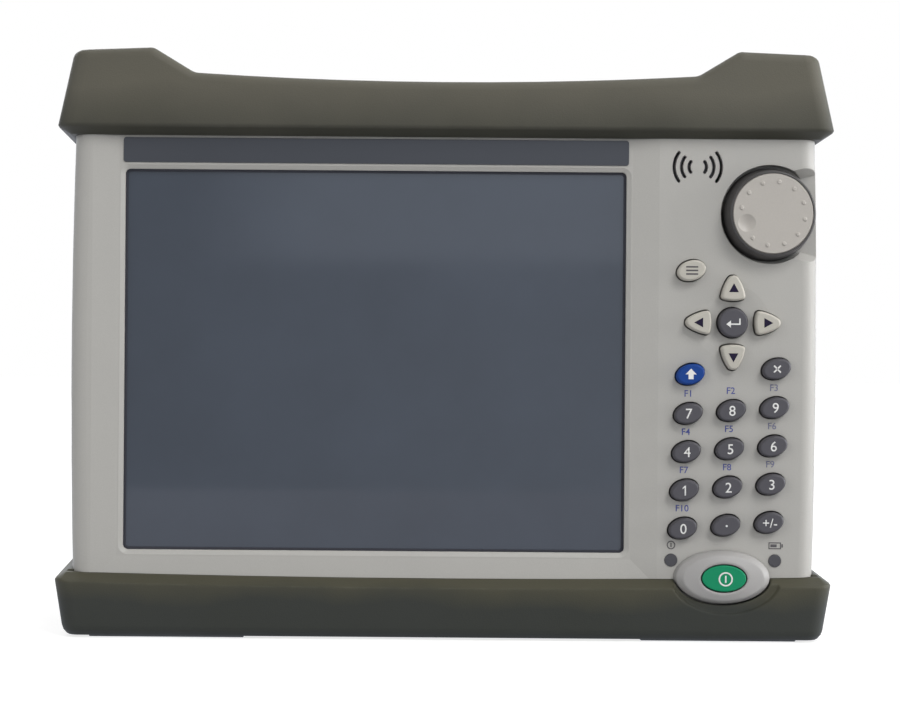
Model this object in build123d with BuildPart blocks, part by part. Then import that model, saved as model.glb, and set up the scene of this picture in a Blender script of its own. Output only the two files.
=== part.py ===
"""Handheld antenna analyzer: two case halves in rubber end bumpers, screen, keypad, knob and bail.

Millimetres. +X is the user's right, the screen faces -Y and +Z is up. The origin is under the
middle of the object, on the plane that the bottom bumper's feet stand on.
"""
from build123d import *
import math
import os

os.makedirs("parts", exist_ok=True)


def at_y(y):
    """The plane facing the user at depth y, with its own x along +X and its own y along +Z."""
    return Plane.XZ.offset(-y)


def save(piece, label):
    """Label a finished piece and write its STEP file."""
    piece.part.label = label
    export_step(piece.part, f"parts/{label}.step")


# ---------------------------------------------------------------- overall
overall_width = 273.0          # over the lips of the bumpers
overall_depth = 91.0           # knob face to the back of the bumpers
overall_height = 207.4         # feet to the crests of the horns

# ---------------------------------------------------------------- planes, front to back
front_y = -overall_depth / 2
back_y = overall_depth / 2
knob_stand = 1.0               # knob face in front of the bumpers
bumper_proud = 5.0             # bumpers in front of the keypad panel
bumper_back_proud = 4.0        # bumpers behind the rear case
bumper_front_y = front_y + knob_stand
panel_y = bumper_front_y + bumper_proud
case_back_y = back_y - bumper_back_proud
parting_inset = 47.5           # back of the case to the joint between its halves
parting_y = case_back_y - parting_inset
side_x = overall_width / 2     # sides of the object

# ---------------------------------------------------------------- case
wall = 3.0
case_side_gap = 4.6            # bumper lip to the widest part of the case
case_bulge = 1.6               # sides bow out by this much
case_front_round = 6.0
case_back_round = 4.0
case_corner = 9.0
case_bottom_z = 4.5
rim_drop = 15.4                # rim of the case below the crests
bulge_drop = 91.0              # widest line of the case below its rim
case_top_z = overall_height - rim_drop
case_mid_z = case_top_z - bulge_drop
case_mid_half = side_x - case_side_gap
case_end_half = case_mid_half - case_bulge
inner_front_y = panel_y + wall
inner_back_y = case_back_y - wall

shoulder_rise = 10.5           # blocks under the horns, above the rim of the case
shoulder_inset = 3.0
shoulder_inner = 39.5          # inner and outer ends of a block, from the side of the object
shoulder_outer = 11.0
shoulder_inner_x = side_x - shoulder_inner
shoulder_outer_x = side_x - shoulder_outer

# connector bay in the top of the case
bay_end = 50.5                 # side of the object to the end of the bay
bay_front_wall = 10.5
bay_back_wall = 9.5
bay_drop = 29.4                # floor of the bay below the crests
bay_corner = 4.0
bay_half = side_x - bay_end
bay_front_y = panel_y + bay_front_wall
bay_back_y = case_back_y - bay_back_wall
bay_floor_z = overall_height - bay_drop

# shallow bevelled recess round the screen
recess_depth = 1.0
recess_bevel = 9.2
recess_y = panel_y + recess_depth
lip_depth = 30.5               # lip of the top bumper below the crests
top_lip_z = overall_height - lip_depth
screen_left = 23.7             # sides of the object to the screen
screen_right = 72.6
screen_drop = 12.1             # screen below the lip of the top bumper
screen_low_z = 30.6
screen_high_z = top_lip_z - screen_drop
screen_left_x = screen_left - side_x
screen_right_x = side_x - screen_right
screen_corner = 1.8
screen_chamfer = 1.6
screen_margin = 2.1            # flat round the screen before the bevel starts
screen_mid_x = (screen_left_x + screen_right_x) / 2
screen_mid_z = (screen_low_z + screen_high_z) / 2
screen_wide = screen_right_x - screen_left_x
screen_tall = screen_high_z - screen_low_z
recess_reach = 1.9             # the recess runs on under the lip
recess_top_z = top_lip_z + recess_reach

# label band above the screen
band_height = 8.7
band_gap = 2.3
band_thick = 0.3
band_corner = 0.9

# glass, gasket and display
gasket_thick = 0.6
gasket_reach = 0.8             # gasket seen inside the opening
lens_overlap = 4.2
lens_thick = 1.5
lcd_overlap = 6.2
lcd_thick = 7.0
gasket_back_y = inner_front_y + gasket_thick
lens_back_y = gasket_back_y + lens_thick
lcd_gap = 0.2
lcd_front_y = lens_back_y + lcd_gap
rail_width = 1.5              # rails of the case that carry the display
rail_gap = 0.3
lcd_inset_x = 4.8

# ---------------------------------------------------------------- bumpers
lip_drop = 4.6                 # lips come nearer to each other towards the back
lip_bevel_in = 4.5
lip_bevel_high = 3.1
lip_tip_high = 0.8             # blunt tip of a lip
lip_tip_in = 0.5
bumper_corner = 6.0
bumper_edge_round = 3.2
top_side_taper = 0.205         # sides and ends lean in by this much per mm of height
top_face_taper = 0.09
horn_outer = 9.0               # outer end, crest and foot of a horn, from the side of the object
horn_crest = 33.5
horn_foot = 48.0
horn_outer_drop = 1.0          # the same places below the crests
horn_fall = 0.1375             # the top falls by this much per mm beyond the outer end
horn_crest_round = 4.0
horn_foot_round = 6.0
horn_foot_drop = 8.8
dip_drop = 11.5                # middle of the dip below the crests
horn_outer_x = side_x - horn_outer
horn_outer_z = overall_height - horn_outer_drop
horn_crest_x = side_x - horn_crest
horn_foot_x = side_x - horn_foot
horn_foot_z = overall_height - horn_foot_drop
dip_z = overall_height - dip_drop
low_lip_z = 22.9
low_lip_sag = 1.5
low_side_taper = 0.15
low_face_taper = 0.11
low_edge_round = 4.0
sole_steps = 4
foot_depth = 0.8
foot_inner = 66.5              # inner and outer ends of a foot, from the side of the object
foot_outer = 12.5
foot_inner_x = side_x - foot_inner
foot_outer_x = side_x - foot_outer

# ---------------------------------------------------------------- keys
key_proud = 3.2
key_gap = 0.42
key_travel = 1.0
key_flange = 0.75
key_flange_thick = 0.9
key_flange_slack = 0.4
key_bevel = 0.6
key_long = 10.9                # length of an oval key hole
key_short = 7.9
key_lean = 17.7                # degrees, ovals rise to the right
key_face_y = panel_y - key_proud
key_back_y = inner_front_y + key_flange_slack + key_flange_thick
enter_hole_r = 5.6
arrow_ring_r = 12.7
arrow_tip = 5.6
arrow_base = 4.45
arrow_half = 4.7
arrow_side_bow = 0.9
arrow_base_bow = 1.0
arrow_corner = 1.6
arrow_tip_corner = 2.4
dish_r = 13.2
dish_depth = 0.45

knob_inset = 22.3              # side of the object to the knob
knob_drop = 57.1               # knob below the crests
knob_x = side_x - knob_inset
knob_z = overall_height - knob_drop
enter_dx = -13.1               # enter key from the knob
enter_dz = -38.2
enter_x = knob_x + enter_dx
enter_z = knob_z + enter_dz
pad_dx = -0.8                  # middle of the number pad, at the 5 key, from the enter key
pad_dz = -44.3
pad_x = enter_x + pad_dx
pad_z = enter_z + pad_dz
column_pitch = 15.15
column_rise = 1.12
row_pitch = 13.45
row_shift = 0.56
menu_dx = -14.7
menu_dz = 18.2
shift_dx = -14.8
shift_dz = -18.2
esc_dx = 15.4
esc_dz = -16.1

membrane_thick = 0.8
rim_width = 1.2
dome_r = 2.1
dome_slack = 0.05
dome_spare = 0.25              # dome height beyond the key travel
membrane_front_y = key_back_y + key_travel + dome_spare
board_thick = 1.6
board_front_y = membrane_front_y + membrane_thick
keypad_socket_y = board_front_y + 3 * board_thick   # where the two boards plug together
board_left = 24.8              # edges of the board from the middle of the number pad
board_right = 18.3
board_low = 43.8
sheet_low = 35.8               # lower edge of the membrane
board_high = 61.2
tab_right = 7.3                # tab beside the knob, from the middle of the number pad
tab_high = 69.7
board_left_x = pad_x - board_left
board_right_x = pad_x + board_right
board_low_z = pad_z - board_low
sheet_low_z = pad_z - sheet_low
board_high_z = pad_z + board_high
board_tab_x = pad_x - tab_right
board_tab_z = pad_z + tab_high

# ---------------------------------------------------------------- power button and lamps
power_inset = 38.5             # side of the object to the power button
power_x = side_x - power_inset
power_z = 22.8
bezel_half_x = 16.8
bezel_half_z = 9.4
bezel_stand = 5.7
bezel_gap = 0.3
power_half_x = 7.7
power_half_z = 4.6
power_stand = 5.95
power_rim = 1.3
relief_half_x = 18.6
relief_half_z = 12.4
relief_depth = 2.0
relief_shift = 1.0
relief_slope = 25.0
power_board_half_x = 12.0
power_board_low_z = 13.0
lamp_r = 2.2
lamp_gap = 0.05
lamp_proud = 0.25
lamp_flange = 0.8
power_lamp_dx = -17.8          # lamps from the power button
charge_lamp_dx = 18.7
lamp_dz = 5.7
power_lamp_x = power_x + power_lamp_dx
charge_lamp_x = power_x + charge_lamp_dx
lamp_z = power_z + lamp_dz

# ---------------------------------------------------------------- speaker
speaker_dx = -25.6             # speaker from the knob
speaker_dz = 16.5
speaker_x = knob_x + speaker_dx
speaker_z = knob_z + speaker_dz
speaker_r = 8.0
speaker_thick = 4.2
slot_width = 0.95
slot_radii = (3.05, 5.7, 8.3)
slot_half_angle = 37.0

# ---------------------------------------------------------------- knob and encoder
well_r = 17.4
well_depth = 5.0
well_floor = 2.0
well_wall = 2.0
scoop_spread = 3.6             # how far the thumb scoop widens towards the side
scoop_slope = 32.0
knob_top_r = 14.9
knob_base_r = 16.4
knob_cap_r = 14.2
knob_cap_thick = 1.6
knob_cap_proud = 0.3
cap_bevel = 0.4
knob_clear = 1.0               # knob above the floor of the well
knob_web = 1.6
dot_count = 12
dot_ring_r = 11.2
dot_r = 0.8
dot_proud = 0.35
dot_slope = 40.0
dimple_ring_r = 9.8
dimple_r = 3.1
dimple_depth = 0.9
dimple_step = 6                # dimple takes the place of this dot
dot_start = 20.0               # degrees, first dot
shaft_r = 3.0
shaft_fit = 0.04
bush_r = 3.5
bush_reach = 3.2
bush_hole_gap = 0.15
encoder_size = 14.0
encoder_thick = 7.0
nut_across = 10.0
nut_thick = 1.8

# ---------------------------------------------------------------- inside
main_board_thick = 1.6
main_board_inset = 17.5        # panel to the front of the main board
main_board_y = panel_y + main_board_inset
main_board_margin = 2.0
board_hole_gap = 0.3
standoff_r = 2.5               # standoffs between main board and display
standoff_side = 8.35           # standoffs inside the edges of the screen
standoff_end = 11.85
standoff_dx = screen_wide / 2 - standoff_side
standoff_dz = screen_tall / 2 - standoff_end
main_board_low_z = 12.0
main_board_drop = 6.0          # main board and module below the floor of the bay
rf_drop = 8.5
rf_left = 24.0                 # ends of the module inside the ends of the bay
rf_right = 2.0
rf_tall = 37.5
rf_depth = 22.0
main_board_high_z = bay_floor_z - main_board_drop
rf_left_x = rf_left - bay_half
rf_right_x = bay_half - rf_right
rf_high_z = bay_floor_z - rf_drop
rf_low_z = rf_high_z - rf_tall
rf_step = 3.0
rf_cover = 1.5
chip_x = 20.0
chip_z = 96.0
chip_size = 24.0
chip_thick = 2.5
boss_r = 3.2
boss_step = 1.5                # shoulder that the main board stands on
boss_inset = 8.3               # bosses from the widest part of the case
boss_low_z = 32.0
boss_high_dz = -12.3           # second bosses from the knob
boss_top_inset = 28.5          # top bosses from the side of the object
boss_top_drop = 13.4           # top bosses below the crests
boss_x = case_mid_half - boss_inset
boss_high_z = knob_z + boss_high_dz
boss_top_x = side_x - boss_top_inset
boss_top_z = overall_height - boss_top_drop
screw_r = 1.5
screw_head_r = 2.9
screw_head_thick = 1.8
screw_sink = 30.0              # heads sit this deep in their wells
screw_gap = 0.25
screw_well_wall = 1.4
screw_length = 25.0
screw_hole_spare = 3.0
drive_r = 1.3
drive_depth = 1.1

battery_long = 149.0
battery_tall = 89.0
battery_thick = 20.0
battery_inset = 7.4            # widest part of the case to the outer end of the battery
battery_x = battery_inset - case_mid_half
battery_z = 40.0               # its lower face
battery_gap = 0.5
battery_round = 2.0
contact_pitch = 6.0
contact_count = 5
tray_wall = 1.4
door_margin = 4.0              # door beyond the battery mouth
door_proud = 0.4
door_recess = 1.6
door_gap = 0.3
door_travel = 8.0
door_round = 1.2
door_notch_r = 5.0
hook_long = 6.0
hook_thick = 1.4
hook_reach = 1.5
hook_drop = 3.1                # from inside the door to the foot of the hook
door_clear = 0.3
door_notch_deep = 0.6

fan_size = 40.0
fan_thick = 10.0
fan_y = parting_y + fan_size / 2
fan_z = 84.0
fan_gap = 0.6
fan_bore_r = 18.6
rotor_r = 17.8
fan_corner = 3.5
fan_post_r = 2.8
fan_arm = 2.0
hub_r = 7.5
blade_count = 7
blade_thick = 1.0
blade_lean = 35.0
axle_r = 1.0
axle_fit = 0.04
vent_count = 9
vent_pitch = 4.2
vent_slot = 2.0
vent_length = 26.0
back_vent_inset = 35.5         # side of the object to the middle of the slots
back_vent_x = side_x - back_vent_inset
back_vent_z = 92.0
back_vent_count = 10
back_vent_length = 30.0

# ---------------------------------------------------------------- bail
bail_side = 64.5               # side of the object to the bail
bail_half = side_x - bail_side
bail_arm = 13.0
bail_foot = 16.0
bail_thick = 5.0
bail_low_z = 34.0
bail_pivot_drop = 30.0         # pivot below the floor of the connector bay
bail_pivot_z = bay_floor_z - bail_pivot_drop
bail_recess_margin = 2.0
bail_recess_depth = 7.0
bail_back_gap = 0.8            # bail sunk below the rear face
bail_floor_wall = 2.2
bail_corner = 10.0
bail_window_corner = 6.0
bail_notch_half = 16.0
bail_notch_deep = 4.0
pivot_r = 1.9
pivot_fit = 0.05
knuckle_r = 3.4
pivot_hold = 5.5               # length of pin held in the rear case
pivot_end_gap = 0.5

# ---------------------------------------------------------------- sockets
plate_thick = 2.5
plate_gap = 0.3
port_x = 58.0
port_shift = 0.5               # ports behind the middle of the bay
port_y = (bay_front_y + bay_back_y) / 2 + port_shift
port_flange = 25.0
port_flange_thick = 1.8
port_thread_r = 7.94
port_bore_r = 4.05
port_pin_r = 0.85
port_height = 15.5
port_shank_r = 5.4
port_shank = 8.0
port_relief = 3.0              # plain neck under the thread
port_neck_r = 7.2
port_bore_depth = 9.0
port_screw_head = 1.6
port_screw_pitch = 18.3
port_screw_r = 1.25
port_screw_head_r = 2.2
socket_lip = 1.2               # rim of a socket that stands on the plate
usb_x = 26.0
usb_wide = 14.6
usb_deep = 7.2
usb_shell = 0.5
usb_rise = 1.6
usb_sink = 10.0
mini_x = 6.0
mini_wide = 8.6
mini_deep = 4.4
mini_rise = 0.8
mini_sink = 6.0
mini_flank = 75.0
jack_x = -12.0
jack_r = 3.4
jack_bore_r = 1.3
jack_rise = 1.5
jack_sink = 10.0
jack_depth = 9.0
supply_x = -30.0
supply_r = 5.2
supply_bore_r = 2.9
supply_pin_r = 1.05
supply_rise = 1.8
supply_sink = 9.0
supply_depth = 8.0


# ================================================================ case halves
def case_profile(inset):
    """Outline of the case from the front, with bowed sides, moved in by inset."""
    with BuildSketch() as profile:
        with BuildLine():
            Line((-case_end_half, case_bottom_z), (case_end_half, case_bottom_z))
            ThreePointArc(
                (case_end_half, case_bottom_z), (case_mid_half, case_mid_z), (case_end_half, case_top_z)
            )
            Line((case_end_half, case_top_z), (-case_end_half, case_top_z))
            ThreePointArc(
                (-case_end_half, case_top_z), (-case_mid_half, case_mid_z), (-case_end_half, case_bottom_z)
            )
        make_face()
        fillet(profile.vertices(), case_corner)
        if inset != 0:
            offset(amount=-inset)
    return profile.sketch


with BuildPart() as case_body:
    with BuildSketch(at_y(panel_y)):
        add(case_profile(0))
    extrude(amount=panel_y - case_back_y)
    front_edges = case_body.faces().sort_by(Axis.Y)[0].edges()
    fillet(front_edges, case_front_round)
    back_edges = case_body.faces().sort_by(Axis.Y)[-1].edges()
    fillet(back_edges, case_back_round)
    # blocks that stand up under the horns of the top bumper
    with BuildSketch(at_y(panel_y + shoulder_inset)):
        with BuildLine():
            Polyline(
                (shoulder_inner_x - shoulder_rise, case_top_z - wall),
                (shoulder_outer_x, case_top_z - wall),
                (shoulder_outer_x, case_top_z + shoulder_rise - wall),
                (shoulder_outer_x - wall, case_top_z + shoulder_rise),
                (shoulder_inner_x + wall, case_top_z + shoulder_rise),
                (shoulder_inner_x - shoulder_rise, case_top_z),
                close=True,
            )
        make_face()
        mirror(about=Plane.YZ)
    extrude(amount=panel_y - case_back_y + 2 * shoulder_inset)
    # bevelled recess round the screen
    recess_left = screen_left_x - screen_margin
    recess_right = screen_right_x + screen_margin
    recess_low = screen_low_z - screen_margin
    with BuildSketch(at_y(recess_y)):
        with Locations(((recess_left + recess_right) / 2, (recess_low + recess_top_z) / 2)):
            Rectangle(recess_right - recess_left, recess_top_z - recess_low)
    with BuildSketch(at_y(panel_y)):
        with Locations(((recess_left + recess_right) / 2, (recess_low + recess_top_z) / 2)):
            Rectangle(
                recess_right - recess_left + 2 * recess_bevel, recess_top_z - recess_low + 2 * recess_bevel
            )
    loft(mode=Mode.SUBTRACT)
    # connector bay
    bay_mid_y = (bay_front_y + bay_back_y) / 2
    with BuildSketch(Plane.XY.offset(bay_floor_z)):
        with Locations((0, bay_mid_y)):
            RectangleRounded(2 * bay_half, bay_back_y - bay_front_y, bay_corner)
    extrude(amount=overall_height - bay_floor_z, mode=Mode.SUBTRACT)

# room that the tub of the connector bay takes, up to the rim of the case
with BuildPart() as tub_block:
    with BuildSketch(Plane.XY.offset(bay_floor_z - wall)):
        with Locations((0, bay_mid_y)):
            RectangleRounded(2 * (bay_half + wall), bay_back_y - bay_front_y + 2 * wall, bay_corner + wall)
    extrude(amount=case_top_z - bay_floor_z + wall)


# key places, as points on the panel
def pad_spot(column, row):
    """Middle of a number key: columns count from the 5 key to the right, rows downwards."""
    return (
        pad_x + column * column_pitch - row * row_shift,
        pad_z + column * column_rise - row * row_pitch,
    )


oval_keys = {
    "key_menu": (enter_x + menu_dx, enter_z + menu_dz),
    "key_shift": (enter_x + shift_dx, enter_z + shift_dz),
    "key_esc": (enter_x + esc_dx, enter_z + esc_dz),
}
pad_rows = (("7", "8", "9"), ("4", "5", "6"), ("1", "2", "3"), ("0", "point", "sign"))
for row, marks in enumerate(pad_rows):
    for column, mark in enumerate(marks):
        oval_keys["key_" + mark] = pad_spot(column - 1, row - 1)
arrow_turns = {"key_up": 0, "key_left": 90, "key_down": 180, "key_right": 270}
arrow_keys = {
    label: (
        enter_x - arrow_ring_r * math.sin(math.radians(turn)),
        enter_z + arrow_ring_r * math.cos(math.radians(turn)),
    )
    for label, turn in arrow_turns.items()
}


def oval_outline(grow):
    """Oval key hole, leaning up to the right, changed by grow all round."""
    with BuildSketch() as outline:
        Ellipse(key_long / 2 + grow, key_short / 2 + grow, rotation=key_lean)
    return outline.sketch


def arrow_outline(grow, turn):
    """Rounded arrow key hole pointing away from the enter key, changed by grow all round."""
    with BuildSketch() as outline:
        with BuildLine():
            tip = (0, arrow_tip)
            left = (-arrow_half, -arrow_base)
            right = (arrow_half, -arrow_base)
            bow_x = arrow_half / 2 + arrow_side_bow
            bow_z = (arrow_tip - arrow_base) / 2 + arrow_side_bow / 2
            ThreePointArc(tip, (-bow_x, bow_z), left)
            ThreePointArc(left, (0, -arrow_base - arrow_base_bow), right)
            ThreePointArc(right, (bow_x, bow_z), tip)
        make_face()
        fillet(outline.vertices().sort_by(Axis.Y)[:2], arrow_corner)
        fillet(outline.vertices().sort_by(Axis.Y)[-1:], arrow_tip_corner)
        offset(amount=grow)
    return outline.sketch.moved(Rot(0, 0, turn))


def enter_outline(grow):
    """Round hole of the enter key, changed by grow all round."""
    with BuildSketch() as outline:
        Circle(enter_hole_r + grow)
    return outline.sketch


key_spots = {**oval_keys, **arrow_keys, "key_enter": (enter_x, enter_z)}


def key_outline(label, grow):
    """Outline of one key hole at its place on the panel, changed by grow all round."""
    if label in arrow_turns:
        outline = arrow_outline(grow, arrow_turns[label])
    elif label == "key_enter":
        outline = enter_outline(grow)
    else:
        outline = oval_outline(grow)
    return Pos(*key_spots[label]) * outline


screw_seat_y = case_back_y - screw_sink
screw_grip = parting_y - (screw_seat_y - screw_length)   # length of thread in the front case
boss_spots = [
    (side * x, z)
    for side in (-1, 1)
    for x, z in ((boss_x, boss_low_z), (boss_x, boss_high_z), (boss_top_x, boss_top_z))
]

with BuildPart() as front_case:
    add(case_body.part)
    split(bisect_by=Plane.XZ.offset(-parting_y), keep=Keep.TOP)
    # hollow behind the panel, and the opening that the socket tub hangs in
    with BuildSketch(at_y(parting_y)):
        add(case_profile(wall))
    extrude(amount=parting_y - inner_front_y, mode=Mode.SUBTRACT)
    add(tub_block.part, mode=Mode.SUBTRACT)
    # screw bosses
    with BuildSketch(at_y(parting_y)):
        with Locations(*boss_spots):
            Circle(boss_r)
    extrude(amount=parting_y - inner_front_y)
    with BuildSketch(at_y(main_board_y)):
        with Locations(*boss_spots):
            Circle(boss_r + boss_step)
    extrude(amount=main_board_y - inner_front_y)
    with BuildSketch(at_y(parting_y)):
        with Locations(*boss_spots):
            Circle(screw_r)
    extrude(amount=screw_grip + screw_hole_spare, mode=Mode.SUBTRACT)
    # rails that carry the display
    rail_z = screen_tall / 2 + lens_overlap + rail_gap + rail_width / 2
    with BuildSketch(at_y(inner_front_y)):
        with Locations((screen_mid_x, screen_mid_z - rail_z), (screen_mid_x, screen_mid_z + rail_z)):
            Rectangle(screen_wide, rail_width)
    extrude(amount=inner_front_y - lcd_front_y)
    # cup for the knob
    scoop_half = well_r * 0.88
    scoop_top_half = scoop_half + well_depth * math.tan(math.radians(scoop_slope))
    with BuildSketch(at_y(inner_front_y)):
        with Locations((knob_x, knob_z)):
            Circle(well_r + well_wall)
            Rectangle(
                case_mid_half - knob_x, 2 * (scoop_top_half + well_wall), align=(Align.MIN, Align.CENTER)
            )
    extrude(amount=-(panel_y + well_depth + well_floor - inner_front_y))
    add(case_body.part, mode=Mode.INTERSECT)
    with BuildSketch(at_y(panel_y)):
        with Locations((knob_x, knob_z)):
            Circle(well_r)
    extrude(amount=-well_depth, mode=Mode.SUBTRACT)
    with BuildSketch(at_y(panel_y)):
        with Locations((knob_x, knob_z)):
            Circle(bush_r + bush_hole_gap)
    extrude(amount=-(well_depth + well_floor), mode=Mode.SUBTRACT)
    # thumb scoop from the cup out through the side
    scoop_x = knob_x + math.sqrt(well_r**2 - scoop_half**2)
    with BuildSketch(at_y(panel_y + well_depth)):
        with BuildLine():
            Polyline(
                (scoop_x - well_wall, knob_z - scoop_half + scoop_spread),
                (case_mid_half + wall, knob_z - scoop_half),
                (case_mid_half + wall, knob_z + scoop_half),
                (scoop_x - well_wall, knob_z + scoop_half - scoop_spread),
                close=True,
            )
        make_face()
    extrude(amount=well_depth + wall, taper=-scoop_slope, mode=Mode.SUBTRACT)
    # screen opening with a chamfered edge
    with BuildSketch(at_y(recess_y)):
        with Locations((screen_mid_x, screen_mid_z)):
            RectangleRounded(screen_wide, screen_tall, screen_corner)
    extrude(amount=-wall, mode=Mode.SUBTRACT)
    with BuildSketch(at_y(recess_y)):
        with Locations((screen_mid_x, screen_mid_z)):
            RectangleRounded(
                screen_wide + 2 * screen_chamfer,
                screen_tall + 2 * screen_chamfer,
                screen_corner + screen_chamfer,
            )
    with BuildSketch(at_y(recess_y + screen_chamfer / 2)):
        with Locations((screen_mid_x, screen_mid_z)):
            RectangleRounded(screen_wide, screen_tall, screen_corner)
    loft(mode=Mode.SUBTRACT)
    # dished ring round the enter key
    dish_ball_r = (dish_r**2 + dish_depth**2) / (2 * dish_depth)
    with Locations((enter_x, panel_y - dish_ball_r + dish_depth, enter_z)):
        Sphere(dish_ball_r, mode=Mode.SUBTRACT)
    # key holes
    with BuildSketch(at_y(panel_y)):
        for label in key_spots:
            add(key_outline(label, 0))
        with Locations((power_x, power_z)):
            Ellipse(power_half_x + key_gap, power_half_z + key_gap)
        with Locations((power_lamp_x, lamp_z), (charge_lamp_x, lamp_z)):
            Circle(lamp_r + lamp_gap)
    extrude(amount=-wall, mode=Mode.SUBTRACT)
    # speaker slots
    with BuildSketch(at_y(panel_y)):
        with Locations((speaker_x, speaker_z)):
            for radius in slot_radii:
                for facing in (0, 180):
                    with BuildLine(mode=Mode.PRIVATE) as slot:
                        CenterArc((0, 0), radius, facing - slot_half_angle, 2 * slot_half_angle)
                    SlotArc(slot.edges()[0], slot_width)
    extrude(amount=-wall, mode=Mode.SUBTRACT)
save(front_case, "front_case")


# ---------------------------------------------------------------- rear case
battery_y = case_back_y - bail_recess_depth - bail_floor_wall - tray_wall - battery_thick
door_low_z = battery_z - door_margin
door_high_z = battery_z + battery_tall + door_margin
door_front_y = battery_y - door_margin
door_back_y = battery_y + battery_thick + door_margin
mouth_low_z = battery_z - battery_gap
mouth_high_z = battery_z + battery_tall + battery_gap
mouth_front_y = battery_y - battery_gap
mouth_back_y = battery_y + battery_thick + battery_gap
battery_mid_y = battery_y + battery_thick / 2
battery_mid_z = battery_z + battery_tall / 2
hook_z = battery_tall / 3      # hooks above and below the middle of the door
recess_floor_y = case_back_y - bail_recess_depth
recess_half = bail_half + bail_recess_margin
recess_low_z = bail_low_z - bail_recess_margin
recess_high_z = bail_pivot_z + knuckle_r + bail_recess_margin
bail_back_y = case_back_y - bail_back_gap
pivot_y = bail_back_y - bail_thick / 2
port_spots = [(-port_x, port_y), (port_x, port_y)]
fan_inner_x = case_mid_half - wall - fan_gap - fan_thick - case_bulge / 4

# room in the back that the tray of the bail takes
with BuildPart() as tray_block:
    tray_half = recess_half + pivot_hold + pivot_end_gap + wall / 2
    tray_low = recess_low_z - wall
    tray_high = recess_high_z + wall
    with BuildSketch(at_y(case_back_y)):
        with Locations((0, (tray_low + tray_high) / 2)):
            Rectangle(2 * tray_half, tray_high - tray_low)
    extrude(amount=case_back_y - recess_floor_y + bail_floor_wall)

with BuildPart() as rear_case:
    add(case_body.part)
    split(bisect_by=Plane.XZ.offset(-parting_y), keep=Keep.BOTTOM)
    with BuildSketch(at_y(parting_y)):
        add(case_profile(wall))
    extrude(amount=parting_y - inner_back_y, mode=Mode.SUBTRACT)
    add(tub_block.part, mode=Mode.SUBTRACT)
    # screw bosses with wells for the heads
    with BuildSketch(at_y(parting_y)):
        with Locations(*boss_spots):
            Circle(screw_head_r + screw_gap + screw_well_wall)
    extrude(amount=parting_y - inner_back_y)
    add(case_body.part, mode=Mode.INTERSECT)
    with BuildSketch(at_y(parting_y)):
        with Locations(*boss_spots):
            Circle(screw_r + screw_gap)
    extrude(amount=parting_y - screw_seat_y, mode=Mode.SUBTRACT)
    with BuildSketch(at_y(case_back_y)):
        with Locations(*boss_spots):
            Circle(screw_head_r + screw_gap)
    extrude(amount=screw_sink, mode=Mode.SUBTRACT)
    # seat of the battery door, long enough for the door to slide down
    with BuildSketch(at_y(door_front_y - door_gap)):
        add(case_profile(-wall))
        add(case_profile(door_recess), mode=Mode.SUBTRACT)
        with Locations((-case_mid_half, door_high_z + door_gap)):
            Rectangle(
                2 * case_corner,
                door_high_z - door_low_z + door_travel + 2 * door_gap,
                align=(Align.CENTER, Align.MAX),
                mode=Mode.INTERSECT,
            )
    extrude(amount=door_front_y - door_back_y - 2 * door_gap, mode=Mode.SUBTRACT)
    # mouth for the battery, with notches that let the door hooks out
    with BuildSketch(Plane.YZ.offset(-case_mid_half - wall)):
        with Locations((battery_mid_y, battery_mid_z)):
            Rectangle(mouth_back_y - mouth_front_y, mouth_high_z - mouth_low_z)
        with Locations(
            (battery_mid_y, battery_mid_z - hook_z - door_travel),
            (battery_mid_y, battery_mid_z + hook_z - door_travel),
        ):
            Rectangle(mouth_back_y - mouth_front_y + 2 * hook_reach + door_gap, hook_long + 2 * door_gap)
    extrude(amount=3 * wall, mode=Mode.SUBTRACT)
    # outlet slots beside the fan
    with BuildSketch(Plane.YZ.offset(case_mid_half + wall)):
        with Locations((fan_y, fan_z)):
            with GridLocations(0, vent_pitch, 1, vent_count):
                Rectangle(vent_length, vent_slot)
    extrude(amount=-3 * wall, mode=Mode.SUBTRACT)
    # posts that the fan stands on
    with BuildSketch(Plane.YZ.offset(fan_inner_x + fan_thick)):
        with Locations((fan_y, fan_z)):
            with GridLocations(fan_size - 2 * fan_corner, fan_size - 2 * fan_corner, 2, 2):
                Circle(fan_post_r)
    extrude(amount=case_mid_half - wall / 2 - fan_inner_x - fan_thick)
    # inlet slots in the back
    with BuildSketch(at_y(case_back_y)):
        with Locations((-back_vent_x, back_vent_z), (back_vent_x, back_vent_z)):
            with GridLocations(0, vent_pitch, 1, back_vent_count):
                Rectangle(back_vent_length, vent_slot)
    extrude(amount=2 * wall, mode=Mode.SUBTRACT)
    add(tray_block.part, mode=Mode.SUBTRACT)
save(rear_case, "rear_case")


# ---------------------------------------------------------------- tray that the bail folds into
with BuildPart() as bail_tray:
    add(tray_block.part)
    with BuildSketch(at_y(case_back_y)):
        with Locations((0, (recess_low_z + recess_high_z) / 2)):
            RectangleRounded(2 * recess_half, recess_high_z - recess_low_z, bail_recess_margin)
    extrude(amount=bail_recess_depth, mode=Mode.SUBTRACT)
    with Locations(Location((0, pivot_y, bail_pivot_z), (0, 90, 0))):
        Cylinder(
            pivot_r + pivot_fit, 2 * (recess_half + pivot_hold + pivot_end_gap), mode=Mode.SUBTRACT
        )
save(bail_tray, "bail_tray")


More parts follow.
